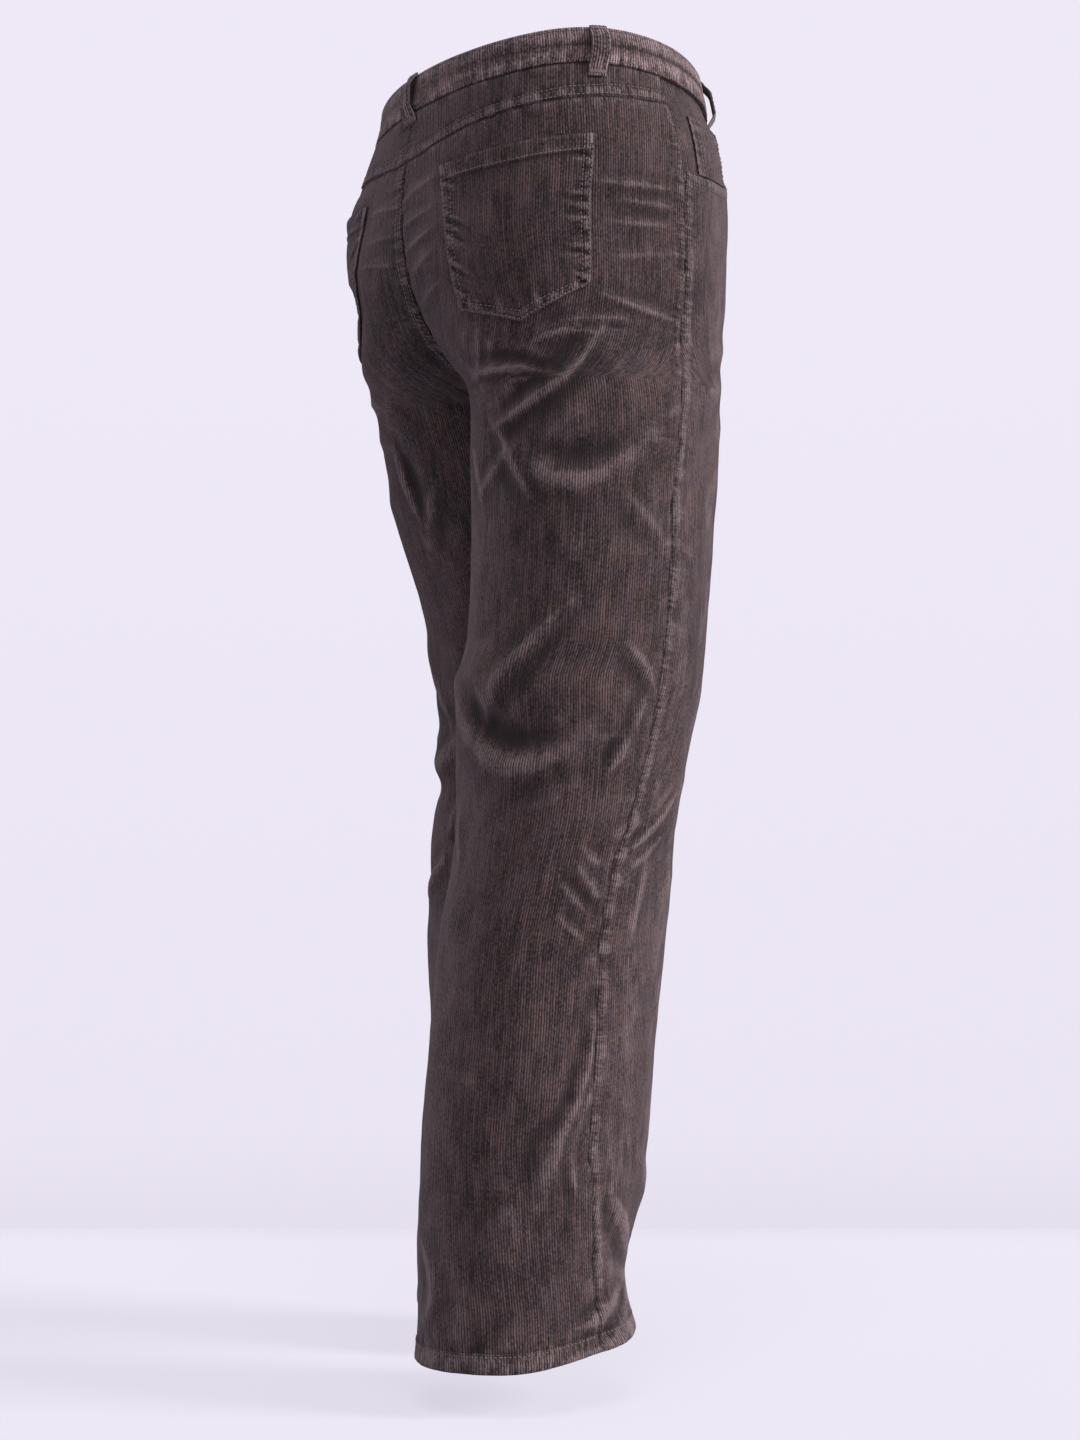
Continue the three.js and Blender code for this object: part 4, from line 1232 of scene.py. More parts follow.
def build_fly():
    fly_strip("fly_zip", ZIP_START, ZIP_WIDTH, FLY_LENGTH, ZIP_LIFT, ZIP_WALL, "zip_tape")
    fly_strip("fly_underlap", UNDERLAP_START, UNDERLAP_WIDTH, FLY_LENGTH + UNDERLAP_EXTRA,
              UNDERLAP_LIFT, CLOTH, "corduroy")
    z = np.linspace(UNDER_BAND - 6, UNDER_BAND - FLY_LENGTH + 10, 60)
    teeth = sewn_rows("zip_teeth", [fly_surface(ZIP_TEETH + 0 * z, z, ZIP_LIFT + 0.2)],
                      0.0016, 0.0030, 0.0036, 0.0011, finish("zip_teeth"))


def build_button():
    """The button on the band's left end: a turned disc with a rim, a dished face and four holes."""
    centre, normal = ring(-BUTTON_INSET, -BAND_HEIGHT / 2, BAND_PROUD + SEAM_GAP + 0.3)
    axis = Vector(normal)
    aside = axis.cross(Vector((0, 0, 1))).normalized()
    upward = aside.cross(axis)
    profile = [(0.0, 0.0), (0.8, 0.0), (0.94, 0.18), (1.0, 0.42), (0.985, 0.68), (0.95, 0.86),
               (0.89, 0.97), (0.82, 1.0), (0.74, 0.96), (0.66, 0.84), (0.58, 0.68), (0.5, 0.62)]
    dish = [(radius, 0.6 - 0.04 * (0.5 - radius)) for radius in np.linspace(0.47, 0.0, 14)]
    rings = [(r * BUTTON_RADIUS, h * BUTTON_HEIGHT) for r, h in profile + dish]
    segments = BUTTON_SEGMENTS
    turns = np.linspace(0, 2 * math.pi, segments, endpoint=False)
    points = []
    for i, (radius, height) in enumerate(rings):
        x = radius * np.cos(turns)
        y = radius * np.sin(turns)
        holes = np.minimum.reduce([
            np.hypot(x - a, y - b)
            for a in (-HOLE_ASIDE, HOLE_ASIDE) for b in (-HOLE_ASIDE, HOLE_ASIDE)])
        drop = HOLE_DEPTH * (1 - smooth(holes, 0.55, 0.95)) * (i >= len(profile))
        for across, up, rise in zip(x, y, height - drop):
            points.append(Vector(centre) + aside * across + upward * up + axis * rise)
    faces = [
        (i * segments + j, i * segments + (j + 1) % segments,
         (i + 1) * segments + (j + 1) % segments, (i + 1) * segments + j)
        for i in range(len(rings) - 1) for j in range(segments)
    ]
    mesh = bpy.data.meshes.new("waist_button_turned")
    mesh.from_pydata([point * MM for point in points], [], faces)
    tidy_turned(mesh)
    mesh.materials.append(finish("horn"))
    piece = show("waist_button_turned", mesh)
    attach(piece, BODY)
    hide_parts("waist_button")


def tidy_turned(mesh):
    """Merges the poles of a turned mesh, points its faces outwards and makes it smooth."""
    shape = bmesh.new()
    shape.from_mesh(mesh)
    bmesh.ops.remove_doubles(shape, verts=shape.verts, dist=1e-7)
    bmesh.ops.recalc_face_normals(shape, faces=shape.faces)
    for face in shape.faces:
        face.smooth = True
    shape.to_mesh(mesh)
    shape.free()


# Sewing

def stitch_tree():
    """Geometry nodes that lay stitches end to end along lines, facing the way that the cloth does."""
    tree = bpy.data.node_groups.get("Stitches along lines")
    if tree:
        return tree
    tree = bpy.data.node_groups.new("Stitches along lines", "GeometryNodeTree")
    tree.interface.new_socket("Geometry", in_out="OUTPUT", socket_type="NodeSocketGeometry")
    tree.interface.new_socket("Geometry", in_out="INPUT", socket_type="NodeSocketGeometry")
    for name in ("Pitch", "Length", "Width", "Height"):
        tree.interface.new_socket(name, in_out="INPUT", socket_type="NodeSocketFloat")
    tree.interface.new_socket("Material", in_out="INPUT", socket_type="NodeSocketMaterial")
    graph = Graph(tree)
    start = graph.add("NodeGroupInput")
    out = start.outputs
    lines = graph.add("GeometryNodeMeshToCurve", {"Mesh": out["Geometry"]})
    spaced = graph.add("GeometryNodeResampleCurve", {"Curve": lines.outputs[0], "Length": out["Pitch"]},
                       mode="LENGTH")
    facing = graph.add("GeometryNodeInputNamedAttribute", {"Name": "facing"}, data_type="FLOAT_VECTOR")
    tangent = graph.add("GeometryNodeInputTangent")
    along = graph.add("FunctionNodeAlignRotationToVector", {"Vector": tangent.outputs[0]}, axis="X")
    turned = graph.add("FunctionNodeAlignRotationToVector",
                       {"Rotation": along.outputs[0], "Vector": facing.outputs["Attribute"]},
                       axis="Z", pivot_axis="X")
    bead = graph.add("GeometryNodeMeshUVSphere", {"Segments": 6, "Rings": 4, "Radius": 0.5})
    size = graph.add("ShaderNodeCombineXYZ", {
        "X": out["Length"], "Y": out["Width"], "Z": out["Height"]})
    shaped = graph.add("GeometryNodeTransform", {
        "Geometry": bead.outputs[0], "Scale": size.outputs[0]})
    laid = graph.add("GeometryNodeInstanceOnPoints", {
        "Points": spaced.outputs[0], "Instance": shaped.outputs[0], "Rotation": turned.outputs[0]})
    whole = graph.add("GeometryNodeRealizeInstances", {"Geometry": laid.outputs[0]})
    soft = graph.add("GeometryNodeSetShadeSmooth", {"Geometry": whole.outputs[0]})
    coloured = graph.add("GeometryNodeSetMaterial", {
        "Geometry": soft.outputs[0], "Material": out["Material"]})
    graph.add("NodeGroupOutput", {"Geometry": coloured.outputs[0]})
    return tree


def sewn_rows(name, rows, pitch, length, width, height, material):
    """One piece of many stitches along rows of points, each with the directions that it faces."""
    points = np.concatenate([row[0] for row in rows]) * MM
    facing = np.concatenate([row[1] for row in rows])
    edges = []
    first = 0
    for row in rows:
        edges += [(first + i, first + i + 1) for i in range(len(row[0]) - 1)]
        first += len(row[0])
    mesh = bpy.data.meshes.new(name + "_lines")
    mesh.from_pydata([tuple(point) for point in points], edges, [])
    attribute = mesh.attributes.new("facing", "FLOAT_VECTOR", "POINT")
    attribute.data.foreach_set("vector", facing.ravel())
    lines = show(name + "_lines", mesh)
    modifier = lines.modifiers.new("stitches", "NODES")
    modifier.node_group = stitch_tree()
    values = {"Pitch": pitch, "Length": length, "Width": width, "Height": height, "Material": material}
    for item in modifier.node_group.interface.items_tree:
        if item.in_out == "INPUT" and item.name in values:
            modifier[item.identifier] = values[item.name]
    evaluated = lines.evaluated_get(bpy.context.evaluated_depsgraph_get())
    piece = show(name, bpy.data.meshes.new_from_object(evaluated))
    piece.data.name = name
    bpy.data.objects.remove(lines)
    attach(piece, BODY)
    return piece


def offset_line(half, angle, z, distance):
    """A line of angles and heights, moved to its right-hand side over the cloth."""
    around = half.form(angle + 0.5, z) - half.form(angle - 0.5, z)
    scale = np.maximum(np.linalg.norm(around, axis=-1), 0.4)
    run = np.gradient(angle) * scale
    fall = np.gradient(z)
    length = np.hypot(run, fall) + 1e-9
    return angle + distance * fall / length / scale, z - distance * run / length


def seam_rows(half, angle, z, distances, lift=0.0):
    """Stitch rows beside a seam, at their distances from it."""
    rows = []
    for distance in distances:
        a, h = offset_line(half, angle, z, distance)
        rows.append(half.cloth(a, h, lift + STITCH_SINK + 0 * a))
    return rows


def panel_rows():
    """Rows on the fronts, backs and yokes."""
    rows = []
    share = np.linspace(0.02, 0.985, 90)
    for half in halves().values():
        # yoke
        angle = half.angle_across(1, -60.0 + 0 * share, share)
        rows += seam_rows(half, angle, yoke_seam(angle), (-EDGE_ROW, -SECOND_ROW))
        # hem
        for face in (1, -1):
            angle = half.angle_across(face, -1000.0 + 0 * share, share)
            z = -998.8 + hem_rise(angle) * 0.93
            rows.append(half.cloth(angle, z, HEM_EXTRA + 0 * z))
        # front pocket's opening
        angle = np.linspace(-1.5, -OPENING_REACH * 0.995, 120)
        rows += seam_rows(half, angle, opening_edge(angle), (-EDGE_ROW, -SECOND_ROW), 0.1)
        # upper side seam
        z = np.linspace(-58, -190, 60)
        angle = half.angle_across(1, z, EDGE_ROW / half.width(1, z))
        rows.append(half.cloth(angle, z, 0.25 + 0 * z))
    left = halves()["left"]
    z = np.linspace(-76, -250, 90)
    for distance in (EDGE_ROW, SECOND_ROW):
        angle = left.angle_across(1, z, 1 - distance / left.width(1, z))
        rows.append(left.cloth(angle, z, 0.15 + 0 * z))
    z = np.linspace(UNDER_BAND - FLY_LENGTH - 4, -250, 40)
    for distance in (EDGE_ROW, SECOND_ROW):
        angle = left.angle_across(-1, z, 1 - distance / left.width(-1, z))
        rows.append(left.cloth(angle, z, 0.15 + 0 * z))
    return rows


def fly_rows():
    """Two curved rows that hold the zip, on the left front."""
    rows = []
    for inset in (0, FLY_ROW_GAP):
        width = FLY_STITCH - inset
        straight = np.linspace(UNDER_BAND - 1, UNDER_BAND - FLY_CURVE, 40)
        turn = np.linspace(0, math.pi / 2, 30)[1:]
        x = np.concatenate([0 * straight + width, width * np.cos(turn) + 2 * np.sin(turn)])
        deep = FLY_LENGTH - FLY_CURVE - inset
        z = np.concatenate([straight, UNDER_BAND - FLY_CURVE - deep * np.sin(turn)])
        rows.append(fly_surface(x, z, STITCH_SINK))
    return rows


def pocket_rows():
    """Rows round the back pockets, under their hems, and on the coin pocket."""
    rows = []
    for half in halves().values():
        width, depth = pocket_size(half)
        for inset in (EDGE_ROW, SECOND_ROW):
            side = inset / width
            foot = 1 - inset / depth
            corners = [
                (side, 0.01), (side, foot), (POCKET_TURN, foot), (1 - side, foot), (1 - side, 0.01)]
            path = np.concatenate([
                np.linspace(a, b, 50)[:-1] for a, b in zip(corners, corners[1:])])
            angle, z = pocket_place(path[:, 0], path[:, 1])
            hem = in_pocket_hem(path[:, 1] * depth)
            rows.append(half.cloth(angle, z, POCKET_GAP + CLOTH + HEM_EXTRA * hem - 0.15))
        across = np.linspace(0.015, 0.985, 60)
        angle, z = pocket_place(across, across * 0 + (POCKET_HEM - HEM_ROW) / depth)
        rows.append(half.cloth(angle, z, POCKET_GAP + CLOTH + HEM_EXTRA + 0 * z))
    right = halves()["right"]
    share = np.linspace(0.02, 0.98, 30)
    for drop in (2, 7):
        angle, z = coin_place(drop / COIN["depth"] + 0 * share, share)
        rows.append(right.cloth(angle, z, COIN_LIFT + 0.1 + 0 * z))
    for across in (2 / COIN["width"], 8 / COIN["width"], 1 - 2 / COIN["width"]):
        angle, z = coin_place(share, across + 0 * share)
        rows.append(right.cloth(angle, z, COIN_LIFT + 0.1 + 0 * z))
    return rows


def band_rows():
    """Rows along both edges of the waistband and down the belt loops."""
    rows = []
    degrees = np.linspace(2, 359, 400)
    for z in (-2.6, -27.2):
        rows.append(ring(degrees, z, band_lift(degrees)))
    share = np.linspace(0.01, 0.99, 40)
    for loop in LOOPS:
        for side in (-1, 1):
            sideways = side * (LOOP_WIDTH / 2 - 2.6)
            rows.append(loop_surface(loop, share, sideways, LOOP_WALL - 0.25))
    return rows


def bartack_rows():
    """Close zigzags at the ends of the belt loops and at the corners of the pockets."""
    rows = []
    zigzag = np.linspace(-1, 1, BARTACK_POINTS)
    wobble = BARTACK_REACH * np.where(np.arange(BARTACK_POINTS) % 2, 1, -1)
    for loop in LOOPS:
        for share in (0.062, 0.938):
            sideways = zigzag * (LOOP_WIDTH / 2 - 1.2)
            rows.append(loop_surface(loop, share + wobble / LOOP_LENGTH, sideways, LOOP_WALL - 0.2))
    for half in halves().values():
        width, depth = pocket_size(half)
        for side in (EDGE_ROW + 0.8, width - EDGE_ROW - 0.8):
            across = side / width + wobble / width
            angle, z = pocket_place(across, (5 + 4.5 * zigzag) / depth)
            rows.append(half.cloth(angle, z, POCKET_GAP + CLOTH + HEM_EXTRA + 0.1 + 0 * z))
    return rows


def settled(rows):
    """The rows, moved along their directions on to the cloth that lies outermost there."""
    graph = bpy.context.evaluated_depsgraph_get()
    cloths = [piece for piece in bpy.data.objects if piece.name.endswith("_cloth")]
    trees = [BVHTree.FromObject(piece, graph) for piece in cloths]
    for points, normals in rows:
        for i, (point, normal) in enumerate(zip(points, normals)):
            facing = Vector(normal).normalized()
            start = Vector(point) * MM + facing * SETTLE_REACH
            hits = [tree.ray_cast(start, -facing, 2 * SETTLE_REACH) for tree in trees]
            near = [(hit[3], hit[0]) for hit in hits if hit[0]]
            if near:
                points[i] = (min(near)[1] + facing * STITCH_RISE) / MM
    return rows


def build_sewing():
    sewing = bpy.context.scene.trousers_sewing
    thread = finish("thread")
    rows = settled(panel_rows() + fly_rows() + pocket_rows() + band_rows())
    sizes = (sewing.stitch_length, sewing.thread_width, sewing.thread_width)
    sewn_rows("seam_stitches", rows, sewing.stitch_pitch, *sizes, thread)
    tack = sewing.thread_width
    sewn_rows("bartacks", settled(bartack_rows()), 1.4 * tack, 2.4 * tack, tack, tack, thread)


# Finishes

class Graph:
    """Adds nodes to a tree, with their settings and inputs."""

    def __init__(self, tree):
        self.tree = tree

    def add(self, kind, inputs=None, **settings):
        node = self.tree.nodes.new(kind)
        for name, value in settings.items():
            setattr(node, name, value)
        return self.feed(node, inputs or {})

    def feed(self, node, inputs):
        """Gives inputs of a node their values, or links to them."""
        for key, value in inputs.items():
            if isinstance(value, bpy.types.NodeSocket):
                self.tree.links.new(value, node.inputs[key])
            else:
                node.inputs[key].default_value = value
        return node

    def math(self, operation, first, second=0.0):
        return self.add("ShaderNodeMath", {0: first, 1: second}, operation=operation).outputs[0]

    def group(self, tree, **inputs):
        """Adds a node group, and gives its outputs by name."""
        return self.add("ShaderNodeGroup", inputs, node_tree=tree).outputs

    def blend(self, share, first, second):
        """Mixes two colours."""
        return self.add("ShaderNodeMix", {0: share, 6: first, 7: second}, data_type="RGBA").outputs[2]


def shader_group(name, inputs, outputs, fill):
    """A node group for shaders, built once."""
    tree = bpy.data.node_groups.get(name)
    if tree:
        return tree
    tree = bpy.data.node_groups.new(name, "ShaderNodeTree")
    for label, kind in inputs:
        tree.interface.new_socket(label, in_out="INPUT", socket_type=kind)
    for label, kind in outputs:
        tree.interface.new_socket(label, in_out="OUTPUT", socket_type=kind)
    graph = Graph(tree)
    start = graph.add("NodeGroupInput")
    graph.add("NodeGroupOutput", fill(graph, start.outputs))
    return tree


VECTOR = "NodeSocketVector"
FLOAT = "NodeSocketFloat"


def wale_group():
    """Ribs of corduroy along the cloth's grain: their height, and how deep in a groove a place lies."""

    def fill(graph, given):
        place = graph.add("ShaderNodeSeparateXYZ", {0: given["Grain"]})
        drift = graph.add("ShaderNodeTexNoise", {
            "Vector": given["Grain"], "Scale": 55.0, "Detail": 2.0})
        shift = graph.math("MULTIPLY", graph.math("SUBTRACT", drift.outputs[0], 0.5), given["Wander"])
        turns = graph.math("DIVIDE", graph.math("ADD", place.outputs[0], shift), given["Pitch"])
        wave = graph.math("ABSOLUTE", graph.math("SINE", graph.math("MULTIPLY", turns, math.pi)))
        rib = graph.math("POWER", wave, 0.6)
        stretched = graph.add("ShaderNodeMapping", {
            "Vector": given["Grain"], "Scale": (1.0, 0.35, 1.0)})
        tufts = graph.add("ShaderNodeTexNoise", {
            "Vector": stretched.outputs[0], "Scale": 1900.0, "Detail": 2.0, "Roughness": 0.6})
        ragged = graph.math("MULTIPLY_ADD", tufts.outputs[0], 0.5)
        ragged.node.inputs[2].default_value = 0.75
        height = graph.math("MULTIPLY", rib, ragged)
        groove = graph.add("ShaderNodeMapRange", {
            "Value": height, "From Min": 0.3, "From Max": 1.0, "To Min": 1.0, "To Max": 0.0})
        return {"Height": height, "Groove": groove.outputs[0]}

    return shader_group(
        "Corduroy wales",
        [("Grain", VECTOR), ("Pitch", FLOAT), ("Wander", FLOAT)],
        [("Height", FLOAT), ("Groove", FLOAT)], fill)


# Mottling of the pile: features to a metre, their stretch along the ribs, their detail and their share
WASH = (
    (14.0, 1.0, 4.0, 1.0),
    (60.0, 0.7, 3.0, 1.0),
    (150.0, 0.09, 3.0, 1.0),
    (480.0, 0.07, 2.0, 1.5),
    (600.0, 0.6, 2.0, 2.4),
)


def wash_group():
    """The mottling of washed pile: a tone from 0 to 1, and where it has turned brownish."""

    def fill(graph, given):
        tone = None
        warmth = graph.add("ShaderNodeTexNoise", {
            "Vector": given["Grain"], "Scale": 46.0, "Detail": 4.0, "Roughness": 0.7,
            "Distortion": 0.6})
        for scale, along, detail, share in WASH:
            place = graph.add("ShaderNodeMapping", {
                "Vector": given["Grain"], "Scale": (1.0, along, 1.0)})
            noise = graph.add("ShaderNodeTexNoise", {
                "Vector": place.outputs[0], "Scale": scale, "Detail": detail, "Roughness": 0.6})
            part = graph.math("MULTIPLY", graph.math("SUBTRACT", noise.outputs[0], 0.5), share)
            tone = part if tone is None else graph.math("ADD", tone, part)
        spread = graph.math("MULTIPLY", tone, given["Contrast"])
        even = graph.add("ShaderNodeClamp", {0: graph.math("ADD", spread, 0.44)})
        warm = graph.add("ShaderNodeMapRange", {
            "Value": warmth.outputs[0], "From Min": 0.4, "From Max": 0.66},
            interpolation_type="SMOOTHSTEP")
        return {"Tone": even.outputs[0], "Warmth": warm.outputs[0]}

    return shader_group(
        "Washed pile", [("Grain", VECTOR), ("Contrast", FLOAT)],
        [("Tone", FLOAT), ("Warmth", FLOAT)], fill)


def light_and_abrasion_group():
    """Where crests and edges are made paler, as painted highlight on crests and abrasion on edges, and
    where deep creases are darkened as painted shade.
    """

    def fill(graph, given):
        patchy = graph.add("ShaderNodeTexNoise", {
            "Vector": given["Grain"], "Scale": 90.0, "Detail": 4.0, "Roughness": 0.65})
        uneven = graph.math("MULTIPLY", graph.math("SUBTRACT", patchy.outputs[0], 0.5), 0.9)
        worn_and_lit = graph.math("ADD", given["Wear"], uneven)
        high = graph.add("ShaderNodeMapRange", {
            "Value": worn_and_lit, "From Min": 0.05, "From Max": 1.1, "To Max": given["Amount"]},
            interpolation_type="SMOOTHSTEP")
        # Painted shade: places lower than the cloth around them are darkened.
        low = graph.add("ShaderNodeMapRange", {
            "Value": given["Wear"], "From Min": -0.9, "From Max": -0.1, "To Min": 1.0, "To Max": 0.0})
        return {"Rubbed": high.outputs[0], "Deep": low.outputs[0]}

    return shader_group(
        "Lit and abraded crests",
        [("Grain", VECTOR), ("Wear", FLOAT), ("Amount", FLOAT)],
        [("Rubbed", FLOAT), ("Deep", FLOAT)], fill)


def drawn_group():
    """The short close wrinkles that seams draw in, standing across the seam."""

    def fill(graph, given):
        share = graph.add("ShaderNodeSeparateXYZ", {0: given["Pull"]})
        total = None
        for axis, scale in ((0, (0.3, 1.0, 1.0)), (1, (1.0, 0.3, 1.0))):
            place = graph.add("ShaderNodeMapping", {
                "Vector": given["Grain"], "Scale": scale, "Rotation": (0.0, 0.0, 0.12)})
            noise = graph.add("ShaderNodeTexNoise", {
                "Vector": place.outputs[0], "Scale": given["Density"], "Detail": 2.0, "Roughness": 0.5})
            centred = graph.math("MULTIPLY", graph.math("SUBTRACT", noise.outputs[0], 0.5), 3.2)
            wrinkle = graph.math("MULTIPLY", centred, share.outputs[axis])
            total = wrinkle if total is None else graph.math("ADD", total, wrinkle)
        return {"Height": total}

    return shader_group(
        "Drawn seams", [("Grain", VECTOR), ("Pull", VECTOR), ("Density", FLOAT)],
        [("Height", FLOAT)], fill)


def rgba(colour, scale=1.0):
    return (*[channel * scale for channel in colour], 1.0)


def new_material(name):
    material = bpy.data.materials.new(name)
    material.use_nodes = True
    material.node_tree.nodes.clear()
    graph = Graph(material.node_tree)
    shader = graph.add("ShaderNodeBsdfPrincipled")
    graph.add("ShaderNodeOutputMaterial", {"Surface": shader.outputs[0]})
    return material, graph, shader


# How far the ribs of the corduroy wander, in metres
WALE_WANDER = 0.0008
# Wrinkles at the seams: how many to a metre, their height in metres, and how far their crests are
# painted paler as highlight and their hollows darker as shade
DRAWN_DENSITY = 260.0
DRAWN_HEIGHT = 0.0016
DRAWN_LIGHT_AND_SHADE = 0.95
# The darkest and the palest pile, as shares of its colour
PILE_RANGE = (0.4, 2.9)
# How far deep places, as painted shade, and grooves, as painted shade over the ground cloth, take the
# groove's colour, and the least share of the paler pile, painted highlight and abrasion, that a crest
# shows
CREASE_SHADE_SHARE = 0.85
GROOVE_SHADE_SHARE = 0.9
LIT_AND_WORN_FLOOR = 0.45


def corduroy(name, lighter=1.0, contrast=1.0, rub=0.85):
    """Washed corduroy: ribs with dark grooves, partly painted shade, mottled pile, crests made paler as
    painted highlight, edges paler from abrasion, creases darkened as painted shade, and drawn-in seams.
    """
    colours = bpy.context.scene.trousers_colours
    cloth = bpy.context.scene.trousers_cloth
    material, graph, shader = new_material(name)
    uv = graph.add("ShaderNodeUVMap", uv_map="cloth").outputs[0]
    wear_and_painted_light = graph.add("ShaderNodeAttribute", attribute_name="wear_and_painted_light").outputs["Fac"]
    pull = graph.add("ShaderNodeAttribute", attribute_name="pull").outputs["Vector"]

    ribs = graph.group(wale_group(), Grain=uv, Pitch=cloth.wale_pitch, Wander=WALE_WANDER)
    wash = graph.group(wash_group(), Grain=uv, Contrast=contrast)
    drawn = graph.group(drawn_group(), Grain=uv, Pull=pull, Density=DRAWN_DENSITY)
    # Painted light: the crests of the drawn wrinkles are made paler and their hollows darker.
    lifted = graph.math("ADD", wear_and_painted_light, graph.math("MULTIPLY", drawn["Height"], DRAWN_LIGHT_AND_SHADE))
    lit_and_abraded = graph.group(light_and_abrasion_group(), Grain=uv, Wear=lifted, Amount=rub)

    cool, warm = [
        graph.blend(wash["Tone"], *[rgba(colour, share * lighter) for share in PILE_RANGE])
        for colour in (colours.pile, colours.pile_warm)
    ]
    pile = graph.blend(wash["Warmth"], cool, warm)
    # Painted shade: deep creases and the hollows of wrinkles are darkened towards the groove colour.
    deep = graph.math("MULTIPLY", lit_and_abraded["Deep"], CREASE_SHADE_SHARE)
    pile = graph.blend(deep, pile, rgba(colours.groove))
    # Painted highlight and wear: crests and puckers are made paler as painted highlight, edges as real
    # wear.
    patchy = graph.math("MULTIPLY", lit_and_abraded["Rubbed"], graph.math("ADD", wash["Tone"], LIT_AND_WORN_FLOOR))
    pile = graph.blend(patchy, pile, rgba(colours.worn_and_lit, lighter))
    # Ground cloth and painted shade: the grooves between the ribs take the dark groove colour.
    groove = graph.math("MULTIPLY", ribs["Groove"], GROOVE_SHADE_SHARE)
    base = graph.blend(groove, pile, rgba(colours.groove))

    wrinkled = graph.add("ShaderNodeBump", {
        "Strength": 1.0, "Distance": DRAWN_HEIGHT, "Height": drawn["Height"]})
    bump = graph.add("ShaderNodeBump", {
        "Strength": 1.0, "Distance": cloth.wale_height, "Height": ribs["Height"],
        "Normal": wrinkled.outputs[0]})
    graph.feed(shader, {
        "Base Color": base, "Normal": bump.outputs[0], "Roughness": 0.9, "Specular IOR Level": 0.2,
        "Sheen Weight": 0.2, "Sheen Roughness": 0.4, "Sheen Tint": (0.80, 0.66, 0.70, 1.0)})
    return material


def woven(name, colour, pitch):
    """Plain woven cloth: threads over and under each other, in one colour."""
    material, graph, shader = new_material(name)
    uv = graph.add("ShaderNodeUVMap", uv_map="cloth").outputs[0]
    place = graph.add("ShaderNodeSeparateXYZ", {0: uv})
    waves = [
        graph.math("SINE", graph.math("MULTIPLY", place.outputs[axis], 2 * math.pi / pitch))
        for axis in (0, 1)
    ]
    weave = graph.math("MULTIPLY", *waves)
    specks = graph.add("ShaderNodeTexNoise", {"Vector": uv, "Scale": 240.0, "Detail": 3.0})
    tone = graph.math("ADD", graph.math("MULTIPLY", weave, 0.2), specks.outputs[0])
    base = graph.blend(tone, rgba(colour, 0.7), rgba(colour, 1.35))
    bump = graph.add("ShaderNodeBump", {"Strength": 0.5, "Distance": pitch / 4, "Height": weave})
    graph.feed(shader, {
        "Base Color": base, "Normal": bump.outputs[0], "Roughness": 0.9, "Sheen Weight": 0.15})
    return material


def twisted_thread(name, colour):
    """Sewing thread with its twist."""
    material, graph, shader = new_material(name)
    place = graph.add("ShaderNodeTexCoord").outputs["Object"]
    twist = graph.add("ShaderNodeTexWave", {"Vector": place, "Scale": 900.0, "Distortion": 2.0},
                      bands_direction="DIAGONAL")
    base = graph.blend(twist.outputs["Fac"], rgba(colour, 0.7), rgba(colour, 1.4))
    bump = graph.add("ShaderNodeBump", {
        "Strength": 0.4, "Distance": 0.0001, "Height": twist.outputs["Fac"]})
    graph.feed(shader, {
        "Base Color": base, "Normal": bump.outputs[0], "Roughness": 0.6, "Sheen Weight": 0.2})
    return material


def polished(name, colour, metallic, roughness, scale):
    """A hard piece with clouds in its colour and fine scratches."""
    material, graph, shader = new_material(name)
    place = graph.add("ShaderNodeTexCoord").outputs["Object"]
    clouds = graph.add("ShaderNodeTexNoise", {
        "Vector": place, "Scale": scale, "Detail": 6.0, "Roughness": 0.6, "Distortion": 1.5})
    base = graph.blend(clouds.outputs[0], rgba(colour, 0.5), rgba(colour, 2.0))
    fine = graph.add("ShaderNodeTexNoise", {"Vector": place, "Scale": scale * 12, "Detail": 3.0})
    gloss = graph.math("MULTIPLY_ADD", fine.outputs[0], 0.2)
    gloss.node.inputs[2].default_value = roughness - 0.1
    bump = graph.add("ShaderNodeBump", {"Strength": 0.2, "Distance": 0.0001, "Height": fine.outputs[0]})
    graph.feed(shader, {
        "Base Color": base, "Normal": bump.outputs[0], "Roughness": gloss, "Metallic": metallic})
    return material


def finish(name):
    """A material by its name, made the first time it is asked for."""
    colours = bpy.context.scene.trousers_colours
    makers = {
        "corduroy": lambda: corduroy("corduroy_pile"),
        "pocket_corduroy": lambda: corduroy("pocket_corduroy_pile", 1.06, 0.95, 0.8),
        # Painted light: the band and the belt loops take a copy of the corduroy made much paler, for
        # the light that they catch.
        "band_corduroy": lambda: corduroy("band_corduroy_pile", 1.85, 1.3, 0.8),
        "wrong_side": lambda: woven("corduroy_wrong_side", colours.wrong_side, 0.0011),
        "zip_tape": lambda: woven("zip_tape_weave", colours.zip_tape, 0.0009),
        "thread": lambda: twisted_thread("sewing_thread", colours.thread),
        "zip_teeth": lambda: polished("zip_teeth_metal", colours.zip_teeth, 1.0, 0.38, 300.0),
        "horn": lambda: polished("horn_polished", colours.horn, 0.0, 0.32, 160.0),
    }
    if name not in FINISHES:
        FINISHES[name] = makers[name]()
    return FINISHES[name]


FINISHES = {}
HALVES = {}


def halves():
    """The right and left halves, worked out once."""
    if not HALVES:
        HALVES["right"] = Half(-1, RIGHT_LEG, RIGHT_CREASES, RIGHT_RIDES)
        HALVES["left"] = Half(1, LEFT_LEG, LEFT_CREASES, LEFT_RIDES)
    return HALVES


# Stage

